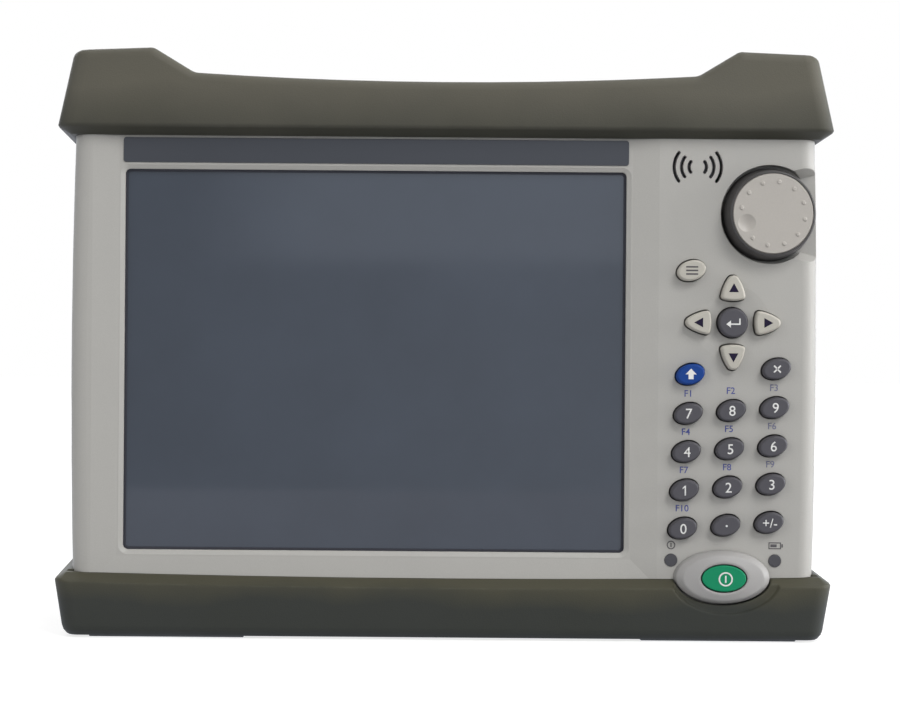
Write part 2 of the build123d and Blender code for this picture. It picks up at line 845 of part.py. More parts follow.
# ---------------------------------------------------------------- tub of the connector bay
with BuildPart() as socket_tub:
    add(tub_block.part)
    with BuildSketch(Plane.XY.offset(bay_floor_z)):
        with Locations((0, bay_mid_y)):
            RectangleRounded(2 * bay_half, bay_back_y - bay_front_y, bay_corner)
    extrude(amount=overall_height - bay_floor_z, mode=Mode.SUBTRACT)
    # holes under the sockets
    with BuildSketch(Plane.XY.offset(bay_floor_z)):
        with Locations(*port_spots):
            Circle(port_shank_r + plate_gap)
        with Locations((usb_x, port_y)):
            Rectangle(usb_wide + 2 * plate_gap, usb_deep + 2 * plate_gap)
        with Locations((mini_x, port_y)):
            Rectangle(mini_wide + 2 * plate_gap, mini_deep + 2 * plate_gap)
        with Locations((jack_x, port_y)):
            Circle(jack_r + plate_gap)
        with Locations((supply_x, port_y)):
            Circle(supply_r + plate_gap)
    extrude(amount=-2 * wall, mode=Mode.SUBTRACT)
save(socket_tub, "socket_tub")


# ================================================================ bumpers
bumper_mid_y = (bumper_front_y + back_y) / 2
bumper_deep = back_y - bumper_front_y
lip_slope = lip_drop / bumper_deep
spare = 20.0                   # cutting shapes run past the rubber by this much


def lip_plane(z, slope, lift):
    """Plane through a lip at height z in front, falling by slope towards the back, moved by lift."""
    tilt = Plane(origin=(0, bumper_front_y, z), x_dir=(1, 0, 0), z_dir=(0, slope, 1))
    return tilt.offset(lift)


with BuildPart() as top_bumper:
    rise = overall_height - top_lip_z - lip_bevel_high
    # sections: inner edge of the lip, its blunt tip up to the widest line, and the crests
    with BuildSketch(lip_plane(top_lip_z, lip_slope, 0)):
        with Locations((0, bumper_deep / 2)):
            RectangleRounded(
                overall_width - 2 * lip_bevel_in, bumper_deep - 2 * lip_bevel_in, bumper_corner - lip_bevel_in
            )
    with BuildSketch(lip_plane(top_lip_z, lip_slope, lip_bevel_high - lip_tip_high)):
        with Locations((0, bumper_deep / 2)):
            RectangleRounded(
                overall_width - 2 * lip_tip_in, bumper_deep - 2 * lip_tip_in, bumper_corner - lip_tip_in
            )
    with BuildSketch(lip_plane(top_lip_z, lip_slope, lip_bevel_high)):
        with Locations((0, bumper_deep / 2)):
            RectangleRounded(overall_width, bumper_deep, bumper_corner)
    with BuildSketch(Plane.XY.offset(overall_height)):
        with Locations((0, bumper_mid_y)):
            RectangleRounded(
                overall_width - 2 * rise * top_side_taper,
                bumper_deep - 2 * rise * top_face_taper,
                bumper_corner,
            )
    loft(ruled=True)
    # horns at the ends and the long dip between them
    with BuildSketch(at_y(front_y)) as horns:
        with BuildLine():
            past_x = side_x + spare
            past_z = horn_outer_z - horn_fall * (past_x - horn_outer_x)
            Polyline((horn_foot_x, horn_foot_z), (horn_crest_x, overall_height), (horn_outer_x, horn_outer_z))
            Polyline((horn_outer_x, horn_outer_z), (past_x, past_z), (past_x, 0), (-past_x, 0))
            Polyline((-past_x, 0), (-past_x, past_z), (-horn_outer_x, horn_outer_z))
            Polyline(
                (-horn_outer_x, horn_outer_z), (-horn_crest_x, overall_height), (-horn_foot_x, horn_foot_z)
            )
            ThreePointArc((-horn_foot_x, horn_foot_z), (0, dip_z), (horn_foot_x, horn_foot_z))
        make_face()
        fillet(horns.vertices().group_by(Axis.Y)[-1], horn_crest_round)
        fillet(horns.vertices().filter_by(lambda v: abs(v.X) < horn_foot_x + 1), horn_foot_round)
    extrude(amount=-(back_y - front_y + spare), mode=Mode.INTERSECT)
    # soften the outer edges of the horns and the dip
    crests = top_bumper.faces().filter_by(lambda face: face.normal_at().Z > 0.5)
    crest_edges = [edge for face in crests for edge in face.edges() if edge.length > 2 * case_corner]
    long_edges = [edge for edge in crest_edges if abs(edge.tangent_at(0.5).X) > 0.5]
    fillet(ShapeList(long_edges), bumper_edge_round)
    add(case_body.part, mode=Mode.SUBTRACT)
    with BuildSketch(Plane.XY.offset(bay_floor_z)):
        with Locations((0, (bay_front_y + bay_back_y) / 2)):
            RectangleRounded(2 * bay_half, bay_back_y - bay_front_y, bay_corner)
    extrude(amount=overall_height - bay_floor_z, mode=Mode.SUBTRACT)
save(top_bumper, "top_bumper")

with BuildPart() as bottom_bumper:
    fall = low_lip_z - lip_bevel_high
    # the edge of the sole is rounded in steps of equal angle
    for step in range(sole_steps + 1):
        turn = math.radians(90 * step / sole_steps)
        height = low_edge_round * (1 - math.cos(turn))
        inset = low_edge_round * (1 - math.sin(turn))
        with BuildSketch(Plane.XY.offset(height)):
            with Locations((0, bumper_mid_y)):
                RectangleRounded(
                    overall_width - 2 * (fall - height) * low_side_taper - 2 * inset,
                    bumper_deep - 2 * (fall - height) * low_face_taper - 2 * inset,
                    bumper_corner - inset,
                )
    with BuildSketch(lip_plane(low_lip_z, -lip_slope, -lip_bevel_high)):
        with Locations((0, bumper_deep / 2)):
            RectangleRounded(overall_width, bumper_deep, bumper_corner)
    with BuildSketch(lip_plane(low_lip_z, -lip_slope, lip_tip_high - lip_bevel_high)):
        with Locations((0, bumper_deep / 2)):
            RectangleRounded(
                overall_width - 2 * lip_tip_in, bumper_deep - 2 * lip_tip_in, bumper_corner - lip_tip_in
            )
    with BuildSketch(lip_plane(low_lip_z, -lip_slope, 0)):
        with Locations((0, bumper_deep / 2)):
            RectangleRounded(
                overall_width - 2 * lip_bevel_in, bumper_deep - 2 * lip_bevel_in, bumper_corner - lip_bevel_in
            )
    loft(ruled=True)
    # front lip dips in the middle, on an arc far above
    arc_r = (side_x**2 + low_lip_sag**2) / (2 * low_lip_sag)
    lip_mid_z = low_lip_z - low_lip_sag
    arc_axis = Axis((0, 0, lip_mid_z + arc_r), (0, 1, 0))
    arc_angle = 2 * math.degrees(math.asin((side_x + spare) / arc_r))
    bevel_foot_z = lip_mid_z - lip_bevel_high * (1 + lip_bevel_in / bumper_proud)
    for sweep in (arc_angle / 2, -arc_angle / 2):
        with BuildSketch(Plane.YZ):
            with BuildLine():
                Polyline(
                    (bumper_front_y - lip_bevel_in, bevel_foot_z),
                    (panel_y, lip_mid_z),
                    (panel_y + wall, lip_mid_z),
                    (panel_y + wall, lip_mid_z + spare),
                    (bumper_front_y - lip_bevel_in, lip_mid_z + spare),
                    close=True,
                )
            make_face()
        revolve(axis=arc_axis, revolution_arc=sweep, mode=Mode.SUBTRACT)
    # hollow between the feet
    foot_mid_x = (foot_inner_x + foot_outer_x) / 2
    with BuildSketch(Plane.XY):
        Rectangle(2 * overall_width, 2 * overall_depth)
        with Locations((-foot_mid_x, bumper_mid_y), (foot_mid_x, bumper_mid_y)):
            Rectangle(foot_outer_x - foot_inner_x, 2 * overall_depth, mode=Mode.SUBTRACT)
    extrude(amount=foot_depth, mode=Mode.SUBTRACT)
    add(case_body.part, mode=Mode.SUBTRACT)
    # gap and scooped seat for the power bezel
    with BuildSketch(at_y(front_y)):
        with Locations((power_x, power_z)):
            Ellipse(bezel_half_x + bezel_gap, bezel_half_z + bezel_gap)
    extrude(amount=-(panel_y + recess_depth - front_y), mode=Mode.SUBTRACT)
    with BuildSketch(at_y(bumper_front_y + relief_depth)):
        with Locations((power_x + relief_shift, power_z)):
            Ellipse(relief_half_x, relief_half_z)
    extrude(amount=relief_depth + knob_stand, taper=-relief_slope, mode=Mode.SUBTRACT)
save(bottom_bumper, "bottom_bumper")


# ================================================================ front of the object
band_low_z = screen_high_z + band_gap

with BuildPart() as label_band:
    with BuildSketch(at_y(recess_y)):
        with Locations((screen_mid_x, band_low_z + band_height / 2)):
            RectangleRounded(screen_wide + band_gap / 2, band_height, band_corner)
    extrude(amount=band_thick)
save(label_band, "label_band")

with BuildPart() as screen_gasket:
    with BuildSketch(at_y(gasket_back_y)):
        with Locations((screen_mid_x, screen_mid_z)):
            RectangleRounded(
                screen_wide + 2 * lens_overlap, screen_tall + 2 * lens_overlap, screen_corner
            )
            RectangleRounded(
                screen_wide - 2 * gasket_reach,
                screen_tall - 2 * gasket_reach,
                screen_corner - gasket_reach,
                mode=Mode.SUBTRACT,
            )
    extrude(amount=gasket_thick)
save(screen_gasket, "screen_gasket")

with BuildPart() as touch_lens:
    with BuildSketch(at_y(lens_back_y)):
        with Locations((screen_mid_x, screen_mid_z)):
            RectangleRounded(
                screen_wide + 2 * lens_overlap, screen_tall + 2 * lens_overlap, screen_corner
            )
    extrude(amount=lens_thick)
save(touch_lens, "touch_lens")

with BuildPart() as lcd_module:
    with BuildSketch(at_y(lcd_front_y)):
        with Locations((screen_mid_x, screen_mid_z)):
            Rectangle(screen_wide + 2 * lcd_inset_x, screen_tall + 2 * lcd_overlap)
    extrude(amount=-lcd_thick)
    # driver board on the back
    with BuildSketch(at_y(lcd_front_y + lcd_thick)):
        with Locations((screen_mid_x, screen_low_z)):
            Rectangle(screen_wide * 0.7, screen_tall / 4, align=(Align.CENTER, Align.MIN))
    extrude(amount=-board_thick)
save(lcd_module, "lcd_module")

# keys: a cap that stands out of the panel, and a flange that keeps it from falling out
for label in key_spots:
    with BuildPart() as key:
        with BuildSketch(at_y(key_face_y)):
            add(key_outline(label, -key_gap))
        extrude(amount=key_face_y - key_back_y)
        chamfer(key.faces().sort_by(Axis.Y)[0].edges(), key_bevel)
        with BuildSketch(at_y(key_back_y)):
            add(key_outline(label, key_flange))
        extrude(amount=key_flange_thick)
    save(key, label)

with BuildPart() as keypad_membrane:
    with BuildSketch(at_y(board_front_y)) as sheet:
        with Locations((board_left_x, sheet_low_z)):
            Rectangle(
                board_right_x - board_left_x, board_high_z - sheet_low_z, align=(Align.MIN, Align.MIN)
            )
            Rectangle(board_tab_x - board_left_x, board_tab_z - sheet_low_z, align=(Align.MIN, Align.MIN))
    extrude(amount=membrane_thick)
    # edges that stand against the panel
    with BuildSketch(at_y(membrane_front_y)):
        with Locations((board_left_x, sheet_low_z)):
            Rectangle(rim_width, board_tab_z - sheet_low_z, align=(Align.MIN, Align.MIN))
            Rectangle(board_right_x - board_left_x, rim_width, align=(Align.MIN, Align.MIN))
        with Locations((board_left_x, board_tab_z)):
            Rectangle(board_tab_x - board_left_x, rim_width, align=(Align.MIN, Align.MAX))
    extrude(amount=membrane_front_y - inner_front_y)
    # one dome behind each key
    dome_height = membrane_front_y - key_back_y - dome_slack
    with BuildSketch(at_y(membrane_front_y)):
        with Locations(*key_spots.values()):
            Circle(dome_r)
    extrude(amount=dome_height)
save(keypad_membrane, "keypad_membrane")

with BuildPart() as keypad_board:
    with BuildSketch(at_y(board_front_y)):
        with Locations((board_left_x, board_low_z)):
            Rectangle(
                board_right_x - board_left_x, board_high_z - board_low_z, align=(Align.MIN, Align.MIN)
            )
            Rectangle(board_tab_x - board_left_x, board_tab_z - board_low_z, align=(Align.MIN, Align.MIN))
        with Locations((power_x, power_board_low_z)):
            Rectangle(
                2 * power_board_half_x, board_high_z - power_board_low_z, align=(Align.CENTER, Align.MIN)
            )
    extrude(amount=-board_thick)
    # socket for the ribbon to the main board
    with BuildSketch(at_y(board_front_y + board_thick)):
        with Locations((pad_x, pad_z)):
            Rectangle(column_pitch, row_pitch / 2)
    extrude(amount=board_front_y + board_thick - keypad_socket_y)
save(keypad_board, "keypad_board")

# power button in its raised bezel
with BuildPart() as power_bezel:
    with BuildSketch(at_y(panel_y)):
        with Locations((power_x, power_z)):
            Ellipse(bezel_half_x, bezel_half_z)
    with BuildSketch(at_y(panel_y - bezel_stand * 0.5)):
        with Locations((power_x, power_z)):
            Ellipse(bezel_half_x - 0.5, bezel_half_z - 0.4)
    with BuildSketch(at_y(panel_y - bezel_stand * 0.85)):
        with Locations((power_x, power_z)):
            Ellipse(bezel_half_x * 0.84, bezel_half_z * 0.84)
    with BuildSketch(at_y(panel_y - bezel_stand)):
        with Locations((power_x, power_z)):
            Ellipse(power_half_x + power_rim, power_half_z + power_rim)
    loft(ruled=True)
    with BuildSketch(at_y(panel_y)):
        with Locations((power_x, power_z)):
            Ellipse(power_half_x + key_gap, power_half_z + key_gap)
    extrude(amount=bezel_stand + wall, mode=Mode.SUBTRACT)
save(power_bezel, "power_bezel")

with BuildPart() as power_button:
    with BuildSketch(at_y(panel_y - power_stand)):
        with Locations((power_x, power_z)):
            Ellipse(power_half_x, power_half_z)
    extrude(amount=panel_y - power_stand - key_back_y)
    chamfer(power_button.faces().sort_by(Axis.Y)[0].edges(), key_bevel / 2)
    with BuildSketch(at_y(key_back_y)):
        with Locations((power_x, power_z)):
            Ellipse(power_half_x + key_gap + key_flange, power_half_z + key_gap + key_flange)
    extrude(amount=key_flange_thick)
save(power_button, "power_button")

with BuildPart() as power_switch:
    with BuildSketch(at_y(board_front_y)):
        with Locations((power_x, power_z - membrane_thick)):
            Rectangle(2 * power_half_x, 1.7 * power_half_z)
    extrude(amount=membrane_thick)
    with BuildSketch(at_y(membrane_front_y)):
        with Locations((power_x, power_z)):
            Circle(dome_r)
    extrude(amount=dome_height)
save(power_switch, "power_switch")

with BuildPart() as lamp_lenses:
    with BuildSketch(at_y(panel_y - lamp_proud)):
        with Locations((power_lamp_x, lamp_z), (charge_lamp_x, lamp_z)):
            Circle(lamp_r)
    extrude(amount=-(wall + lamp_proud))
    with BuildSketch(at_y(inner_front_y + lamp_flange)):
        with Locations((power_lamp_x, lamp_z), (charge_lamp_x, lamp_z)):
            Circle(lamp_r + lamp_flange)
    extrude(amount=lamp_flange)
save(lamp_lenses, "lamp_lenses")

with BuildPart() as speaker:
    with BuildSketch(at_y(inner_front_y)):
        with Locations((speaker_x, speaker_z)):
            Circle(speaker_r)
    extrude(amount=-speaker_thick)
    with BuildSketch(at_y(inner_front_y)):
        with Locations((speaker_x, speaker_z)):
            Circle(speaker_r - 1.0)
    extrude(amount=-speaker_thick / 4, mode=Mode.SUBTRACT)
    with BuildSketch(at_y(inner_front_y + speaker_thick)):
        with Locations((speaker_x, speaker_z)):
            Circle(speaker_r * 0.6)
    extrude(amount=-speaker_thick / 2)
save(speaker, "speaker")


# ================================================================ knob and encoder
well_floor_y = panel_y + well_depth
knob_back_y = well_floor_y - knob_clear
knob_hub_y = knob_back_y - bush_reach
encoder_end_y = well_floor_y + well_floor + encoder_thick / 2
knob_grip_y = front_y + knob_cap_proud
grip_web_y = knob_grip_y + knob_cap_thick + knob_web
knob_axis = Axis((knob_x, 0, knob_z), (0, 1, 0))

with BuildPart() as knob_grip:
    with BuildSketch(Plane.XY.offset(knob_z)):
        with BuildLine():
            Polyline(
                (knob_x, knob_grip_y + knob_cap_thick),
                (knob_x + knob_cap_r, knob_grip_y + knob_cap_thick),
                (knob_x + knob_cap_r, knob_grip_y),
                (knob_x + knob_top_r, knob_grip_y + 0.4),
                (knob_x + knob_base_r, knob_back_y),
                (knob_x + knob_base_r - knob_web, knob_back_y),
                (knob_x + knob_top_r - 2 * knob_web, grip_web_y),
                (knob_x + shaft_r + knob_web, grip_web_y),
                (knob_x + shaft_r + knob_web, knob_hub_y),
                (knob_x, knob_hub_y),
                close=True,
            )
        make_face()
    revolve(axis=knob_axis)
    with Locations(Location((knob_x, (grip_web_y + knob_hub_y) / 2, knob_z), (90, 0, 0))):
        Cylinder(shaft_r, knob_hub_y - knob_grip_y - knob_cap_thick - knob_web, mode=Mode.SUBTRACT)
save(knob_grip, "knob_grip")

with BuildPart() as knob_cap:
    with BuildSketch(at_y(knob_grip_y + knob_cap_thick)):
        with Locations((knob_x, knob_z)):
            Circle(knob_cap_r)
    extrude(amount=knob_cap_thick + knob_cap_proud - dot_proud)
    chamfer(knob_cap.faces().sort_by(Axis.Y)[0].edges(), cap_bevel)
    cap_face_y = front_y + dot_proud
    # raised dots in a ring, one place left for the dimple
    dot_angles = [dot_start + step * 360 / dot_count for step in range(dot_count) if step != dimple_step]
    dot_spots = [
        (
            knob_x + dot_ring_r * math.cos(math.radians(angle)),
            knob_z + dot_ring_r * math.sin(math.radians(angle)),
        )
        for angle in dot_angles
    ]
    with BuildSketch(at_y(cap_face_y)):
        with Locations(*dot_spots):
            Circle(dot_r)
    extrude(amount=dot_proud, taper=dot_slope)
    dimple_angle = math.radians(dot_start + dimple_step * 360 / dot_count)
    dimple_ball_r = (dimple_r**2 + dimple_depth**2) / (2 * dimple_depth)
    with Locations(
        (
            knob_x + dimple_ring_r * math.cos(dimple_angle),
            cap_face_y + dimple_depth - dimple_ball_r,
            knob_z + dimple_ring_r * math.sin(dimple_angle),
        )
    ):
        Sphere(dimple_ball_r, mode=Mode.SUBTRACT)
save(knob_cap, "knob_cap")

with BuildPart() as encoder_shaft:
    with Locations(Location((knob_x, (grip_web_y + encoder_end_y) / 2, knob_z), (90, 0, 0))):
        Cylinder(shaft_r, encoder_end_y - grip_web_y)
save(encoder_shaft, "encoder_shaft")

encoder_front_y = well_floor_y + well_floor
with BuildPart() as encoder_body:
    with BuildSketch(at_y(encoder_front_y)):
        with Locations((knob_x, knob_z)):
            Rectangle(encoder_size, encoder_size)
    extrude(amount=-encoder_thick)
    chamfer(encoder_body.edges().filter_by(Axis.Y), 1.5)
    with BuildSketch(at_y(encoder_front_y)):
        with Locations((knob_x, knob_z)):
            Circle(bush_r)
    extrude(amount=well_floor + bush_reach)
    with BuildSketch(at_y(encoder_front_y - well_floor - bush_reach)):
        with Locations((knob_x, knob_z)):
            Circle(shaft_r + shaft_fit)
    extrude(amount=-(well_floor + bush_reach + encoder_thick / 2), mode=Mode.SUBTRACT)
save(encoder_body, "encoder_body")

with BuildPart() as encoder_nut:
    with BuildSketch(at_y(well_floor_y)):
        with Locations((knob_x, knob_z)):
            RegularPolygon(nut_across / 2, 6, major_radius=False)
            Circle(bush_r, mode=Mode.SUBTRACT)
    extrude(amount=nut_thick)
save(encoder_nut, "encoder_nut")


# ================================================================ inside
main_board_half = case_end_half - wall - main_board_margin

with BuildPart() as main_board:
    with BuildSketch(at_y(main_board_y)):
        with Locations((0, main_board_low_z)):
            Rectangle(
                2 * main_board_half, main_board_high_z - main_board_low_z, align=(Align.CENTER, Align.MIN)
            )
        with Locations(*boss_spots):
            Circle(boss_r + board_hole_gap, mode=Mode.SUBTRACT)
    extrude(amount=-main_board_thick)
    # processor and memory under a heat spreader, and the ribbon socket
    with BuildSketch(at_y(main_board_y + main_board_thick)):
        with Locations((chip_x, chip_z)):
            Rectangle(chip_size, chip_size)
            with Locations((1.2 * chip_size, 0)):
                Rectangle(chip_size / 2, chip_size)
    extrude(amount=-chip_thick)
    with BuildSketch(at_y(main_board_y)):
        with Locations((pad_x, pad_z)):
            Rectangle(column_pitch, row_pitch / 2)
    extrude(amount=main_board_y - keypad_socket_y)
    # standoffs that press the display against its rails
    with BuildSketch(at_y(main_board_y)):
        with Locations((screen_mid_x, screen_mid_z)):
            with GridLocations(2 * standoff_dx, 2 * standoff_dz, 2, 2):
                Circle(standoff_r)
    extrude(amount=main_board_y - lcd_front_y - lcd_thick)
save(main_board, "main_board")

with BuildPart() as rf_module:
    rf_front_y = main_board_y + main_board_thick
    with BuildSketch(at_y(rf_front_y)):
        with Locations((rf_left_x, rf_low_z)):
            Rectangle(rf_right_x - rf_left_x, rf_high_z - rf_low_z, align=(Align.MIN, Align.MIN))
    extrude(amount=-rf_depth)
    # cover with a step round its edge, as on a machined shield
    with BuildSketch(at_y(rf_front_y + rf_depth)):
        with Locations(((rf_left_x + rf_right_x) / 2, (rf_low_z + rf_high_z) / 2)):
            RectangleRounded(
                rf_right_x - rf_left_x - 2 * rf_step, rf_high_z - rf_low_z - 2 * rf_step, rf_step
            )
    extrude(amount=-rf_cover)
save(rf_module, "rf_module")

with BuildPart() as battery:
    with BuildSketch(Plane.YZ.offset(battery_x)):
        with Locations((battery_mid_y, battery_mid_z)):
            RectangleRounded(battery_thick, battery_tall, battery_round)
    extrude(amount=battery_long)
    # finger step at the outer end, and contacts at the inner end
    with BuildSketch(Plane.YZ.offset(battery_x)):
        with Locations((battery_mid_y, battery_mid_z)):
            SlotOverall(battery_tall / 4, battery_thick / 3, rotation=90)
    extrude(amount=battery_round, mode=Mode.SUBTRACT)
    with BuildSketch(Plane.YZ.offset(battery_x + battery_long)):
        with Locations((battery_mid_y, battery_mid_z)):
            with GridLocations(0, contact_pitch, 1, contact_count):
                Rectangle(battery_thick / 4, contact_pitch / 2)
    extrude(amount=-battery_round, mode=Mode.SUBTRACT)
save(battery, "battery")

# tray against the wall behind the bail; the battery stands on its floor and leans on its back
tray_front_y = battery_y - battery_gap - tray_wall
tray_back_y = battery_y + battery_thick + tray_wall
tray_low_z = battery_z - tray_wall
tray_high_z = battery_z + battery_tall + battery_gap + tray_wall
with BuildPart() as battery_tray:
    tray_start_x = battery_x + battery_round
    tray_length = battery_long - battery_round + battery_gap + tray_wall
    with BuildSketch(Plane.YZ.offset(tray_start_x)):
        with Locations(((tray_front_y + tray_back_y) / 2, (tray_low_z + tray_high_z) / 2)):
            Rectangle(tray_back_y - tray_front_y, tray_high_z - tray_low_z)
    extrude(amount=tray_length)
    with BuildSketch(Plane.YZ.offset(tray_start_x)):
        with Locations(((tray_front_y + tray_back_y) / 2, (tray_low_z + tray_high_z) / 2)):
            Rectangle(tray_back_y - tray_front_y - 2 * tray_wall, tray_high_z - tray_low_z - 2 * tray_wall)
    extrude(amount=tray_length - tray_wall, mode=Mode.SUBTRACT)
save(battery_tray, "battery_tray")

# door that slides down out of its hooks
with BuildPart() as battery_door:
    with BuildSketch(at_y(door_front_y)):
        add(case_profile(-door_proud))
        add(case_profile(door_recess - door_clear), mode=Mode.SUBTRACT)
        with Locations((-case_mid_half, (door_low_z + door_high_z) / 2)):
            Rectangle(2 * case_corner, door_high_z - door_low_z, mode=Mode.INTERSECT)
    extrude(amount=door_front_y - door_back_y)
    outer_face = battery_door.faces().sort_by(Axis.X)[0]
    fillet(outer_face.edges(), door_round)
    # thumb notch near the top
    with Locations(
        Location((-case_mid_half - door_notch_r + door_notch_deep, battery_mid_y, door_high_z - 3 * door_notch_r))
    ):
        Sphere(door_notch_r, mode=Mode.SUBTRACT)
    # hooks that reach behind the edges of the battery mouth
    hook_x = -case_mid_half + door_recess / 2
    for hook_mid_z in (battery_mid_z - hook_z, battery_mid_z + hook_z):
        for side, edge_y in ((-1, mouth_front_y), (1, mouth_back_y)):
            neck_y = edge_y - side * (door_gap + hook_thick / 2)
            with BuildSketch(Plane.YZ.offset(hook_x)):
                with Locations((neck_y, hook_mid_z)):
                    Rectangle(hook_thick, hook_long)
            extrude(amount=hook_drop + hook_thick)
            foot_y = edge_y + side * (hook_reach - hook_thick - door_gap) / 2
            with BuildSketch(Plane.YZ.offset(hook_x + hook_drop)):
                with Locations((foot_y, hook_mid_z)):
                    Rectangle(hook_reach + hook_thick + door_gap, hook_long)
            extrude(amount=hook_thick)
save(battery_door, "battery_door")

# fan that blows out through the right side
with BuildPart() as fan_frame:
    with BuildSketch(Plane.YZ.offset(fan_inner_x)):
        with Locations((fan_y, fan_z)):
            RectangleRounded(fan_size, fan_size, fan_corner)
            with GridLocations(fan_size - 2 * fan_corner, fan_size - 2 * fan_corner, 2, 2):
                Circle(screw_r, mode=Mode.SUBTRACT)
    extrude(amount=fan_thick)
    with BuildSketch(Plane.YZ.offset(fan_inner_x)):
        with Locations((fan_y, fan_z)):
            Circle(fan_bore_r)
    extrude(amount=fan_thick, mode=Mode.SUBTRACT)
    # three arms carry the bearing
    with BuildSketch(Plane.YZ.offset(fan_inner_x)):
        with Locations((fan_y, fan_z)):
            Circle(hub_r)
            with PolarLocations(fan_bore_r / 2, 3):
                Rectangle(fan_bore_r + 2 * fan_gap, fan_arm)
    extrude(amount=fan_arm)
    with BuildSketch(Plane.YZ.offset(fan_inner_x)):
        with Locations((fan_y, fan_z)):
            Circle(axle_r + axle_fit)
    extrude(amount=fan_arm, mode=Mode.SUBTRACT)
save(fan_frame, "fan_frame")

with BuildPart() as fan_rotor:
    rotor_x = fan_inner_x + fan_arm + fan_gap
    rotor_long = fan_thick - fan_arm - 2 * fan_gap
    with BuildSketch(Plane.YZ.offset(rotor_x)):
        with Locations((fan_y, fan_z)):
            Circle(hub_r)
    extrude(amount=rotor_long)
    with BuildSketch(Plane.YZ.offset(fan_inner_x)):
        with Locations((fan_y, fan_z)):
            Circle(axle_r)
    extrude(amount=fan_arm + fan_gap + rotor_long / 2)
    # leaning blades, rooted in the hub
    blade_lift = math.tan(math.radians(blade_lean)) * rotor_long
    for step in range(blade_count):
        turn = math.radians(step * 360 / blade_count)
        out_y = math.cos(turn)
        out_z = math.sin(turn)
        blade_root = Plane(
            origin=(rotor_x, fan_y + out_y * hub_r * 0.9, fan_z + out_z * hub_r * 0.9),
            x_dir=(1, 0, 0),
            z_dir=(0, out_y, out_z),
        )
        with BuildSketch(blade_root):
            with BuildLine():
                Polyline(
                    (0, 0),
                    (rotor_long, blade_lift),
                    (rotor_long, blade_lift + blade_thick),
                    (0, blade_thick),
                    close=True,
                )
            make_face()
        extrude(amount=rotor_r - hub_r * 0.9 - blade_lift)
save(fan_rotor, "fan_rotor")


# ================================================================ back of the object
with BuildPart() as tilt_bail:
    with BuildSketch(at_y(bail_back_y)):
        with Locations((0, bail_low_z)):
            Rectangle(2 * bail_half, bail_pivot_z - bail_low_z, align=(Align.CENTER, Align.MIN))
        with Locations((0, bail_low_z + bail_foot)):
            Rectangle(
                2 * (bail_half - bail_arm), bail_pivot_z, align=(Align.CENTER, Align.MIN), mode=Mode.SUBTRACT
            )
    extrude(amount=bail_thick)
    fillet(tilt_bail.edges().filter_by(Axis.Y).group_by(Axis.Z)[0], bail_corner)
    fillet(tilt_bail.edges().filter_by(Axis.Y).group_by(Axis.Z)[-2], bail_window_corner)
    # round knuckles at the tops of the arms
    for side in (-1, 1):
        with Locations(
            Location((side * (bail_half - bail_arm / 2), pivot_y, bail_pivot_z), (0, 90, 0))
        ):
            Cylinder(knuckle_r, bail_arm)
    with Locations(Location((0, pivot_y, bail_pivot_z), (0, 90, 0))):
        Cylinder(pivot_r, 2 * bail_half, mode=Mode.SUBTRACT)
    # finger notch in the lower edge
    with BuildSketch(at_y(bail_back_y)):
        with Locations((0, bail_low_z)):
            SlotOverall(2 * bail_notch_half, 2 * bail_notch_deep)
    extrude(amount=bail_thick, mode=Mode.SUBTRACT)
save(tilt_bail, "tilt_bail")

with BuildPart() as bail_pins:
    pin_start = bail_half - bail_arm
    pin_end = recess_half + pivot_hold
    for side in (-1, 1):
        with Locations(Location((side * (pin_start + pin_end) / 2, pivot_y, bail_pivot_z), (0, 90, 0))):
            Cylinder(pivot_r, pin_end - pin_start)
save(bail_pins, "bail_pins")

with BuildPart() as case_screws:
    with BuildSketch(at_y(screw_seat_y)):
        with Locations(*boss_spots):
            Circle(screw_head_r)
    extrude(amount=-screw_head_thick)
    with BuildSketch(at_y(screw_seat_y)):
        with Locations(*boss_spots):
            Circle(screw_r)
    extrude(amount=screw_length)
    with BuildSketch(at_y(screw_seat_y + screw_head_thick)):
        with Locations(*boss_spots):
            RegularPolygon(drive_r, 6)
    extrude(amount=drive_depth, mode=Mode.SUBTRACT)
save(case_screws, "case_screws")


# ================================================================ sockets
plate_top_z = bay_floor_z + plate_thick
plate_mid_y = (bay_front_y + bay_back_y) / 2

with BuildPart() as connector_panel:
    with BuildSketch(Plane.XY.offset(bay_floor_z)):
        with Locations((0, plate_mid_y)):
            RectangleRounded(
                2 * (bay_half - plate_gap), bay_back_y - bay_front_y - 2 * plate_gap, bay_corner - plate_gap
            )
        with Locations(*port_spots):
            Circle(port_shank_r + plate_gap, mode=Mode.SUBTRACT)
            with GridLocations(port_screw_pitch, port_screw_pitch, 2, 2):
                Circle(port_screw_r, mode=Mode.SUBTRACT)
        with Locations((usb_x, port_y)):
            Rectangle(usb_wide + 2 * plate_gap, usb_deep + 2 * plate_gap, mode=Mode.SUBTRACT)
        with Locations((mini_x, port_y)):
            Rectangle(mini_wide + 2 * plate_gap, mini_deep + 2 * plate_gap, mode=Mode.SUBTRACT)
        with Locations((jack_x, port_y)):
            Circle(jack_r + plate_gap, mode=Mode.SUBTRACT)
        with Locations((supply_x, port_y)):
            Circle(supply_r + plate_gap, mode=Mode.SUBTRACT)
    extrude(amount=plate_thick)
save(connector_panel, "connector_panel")

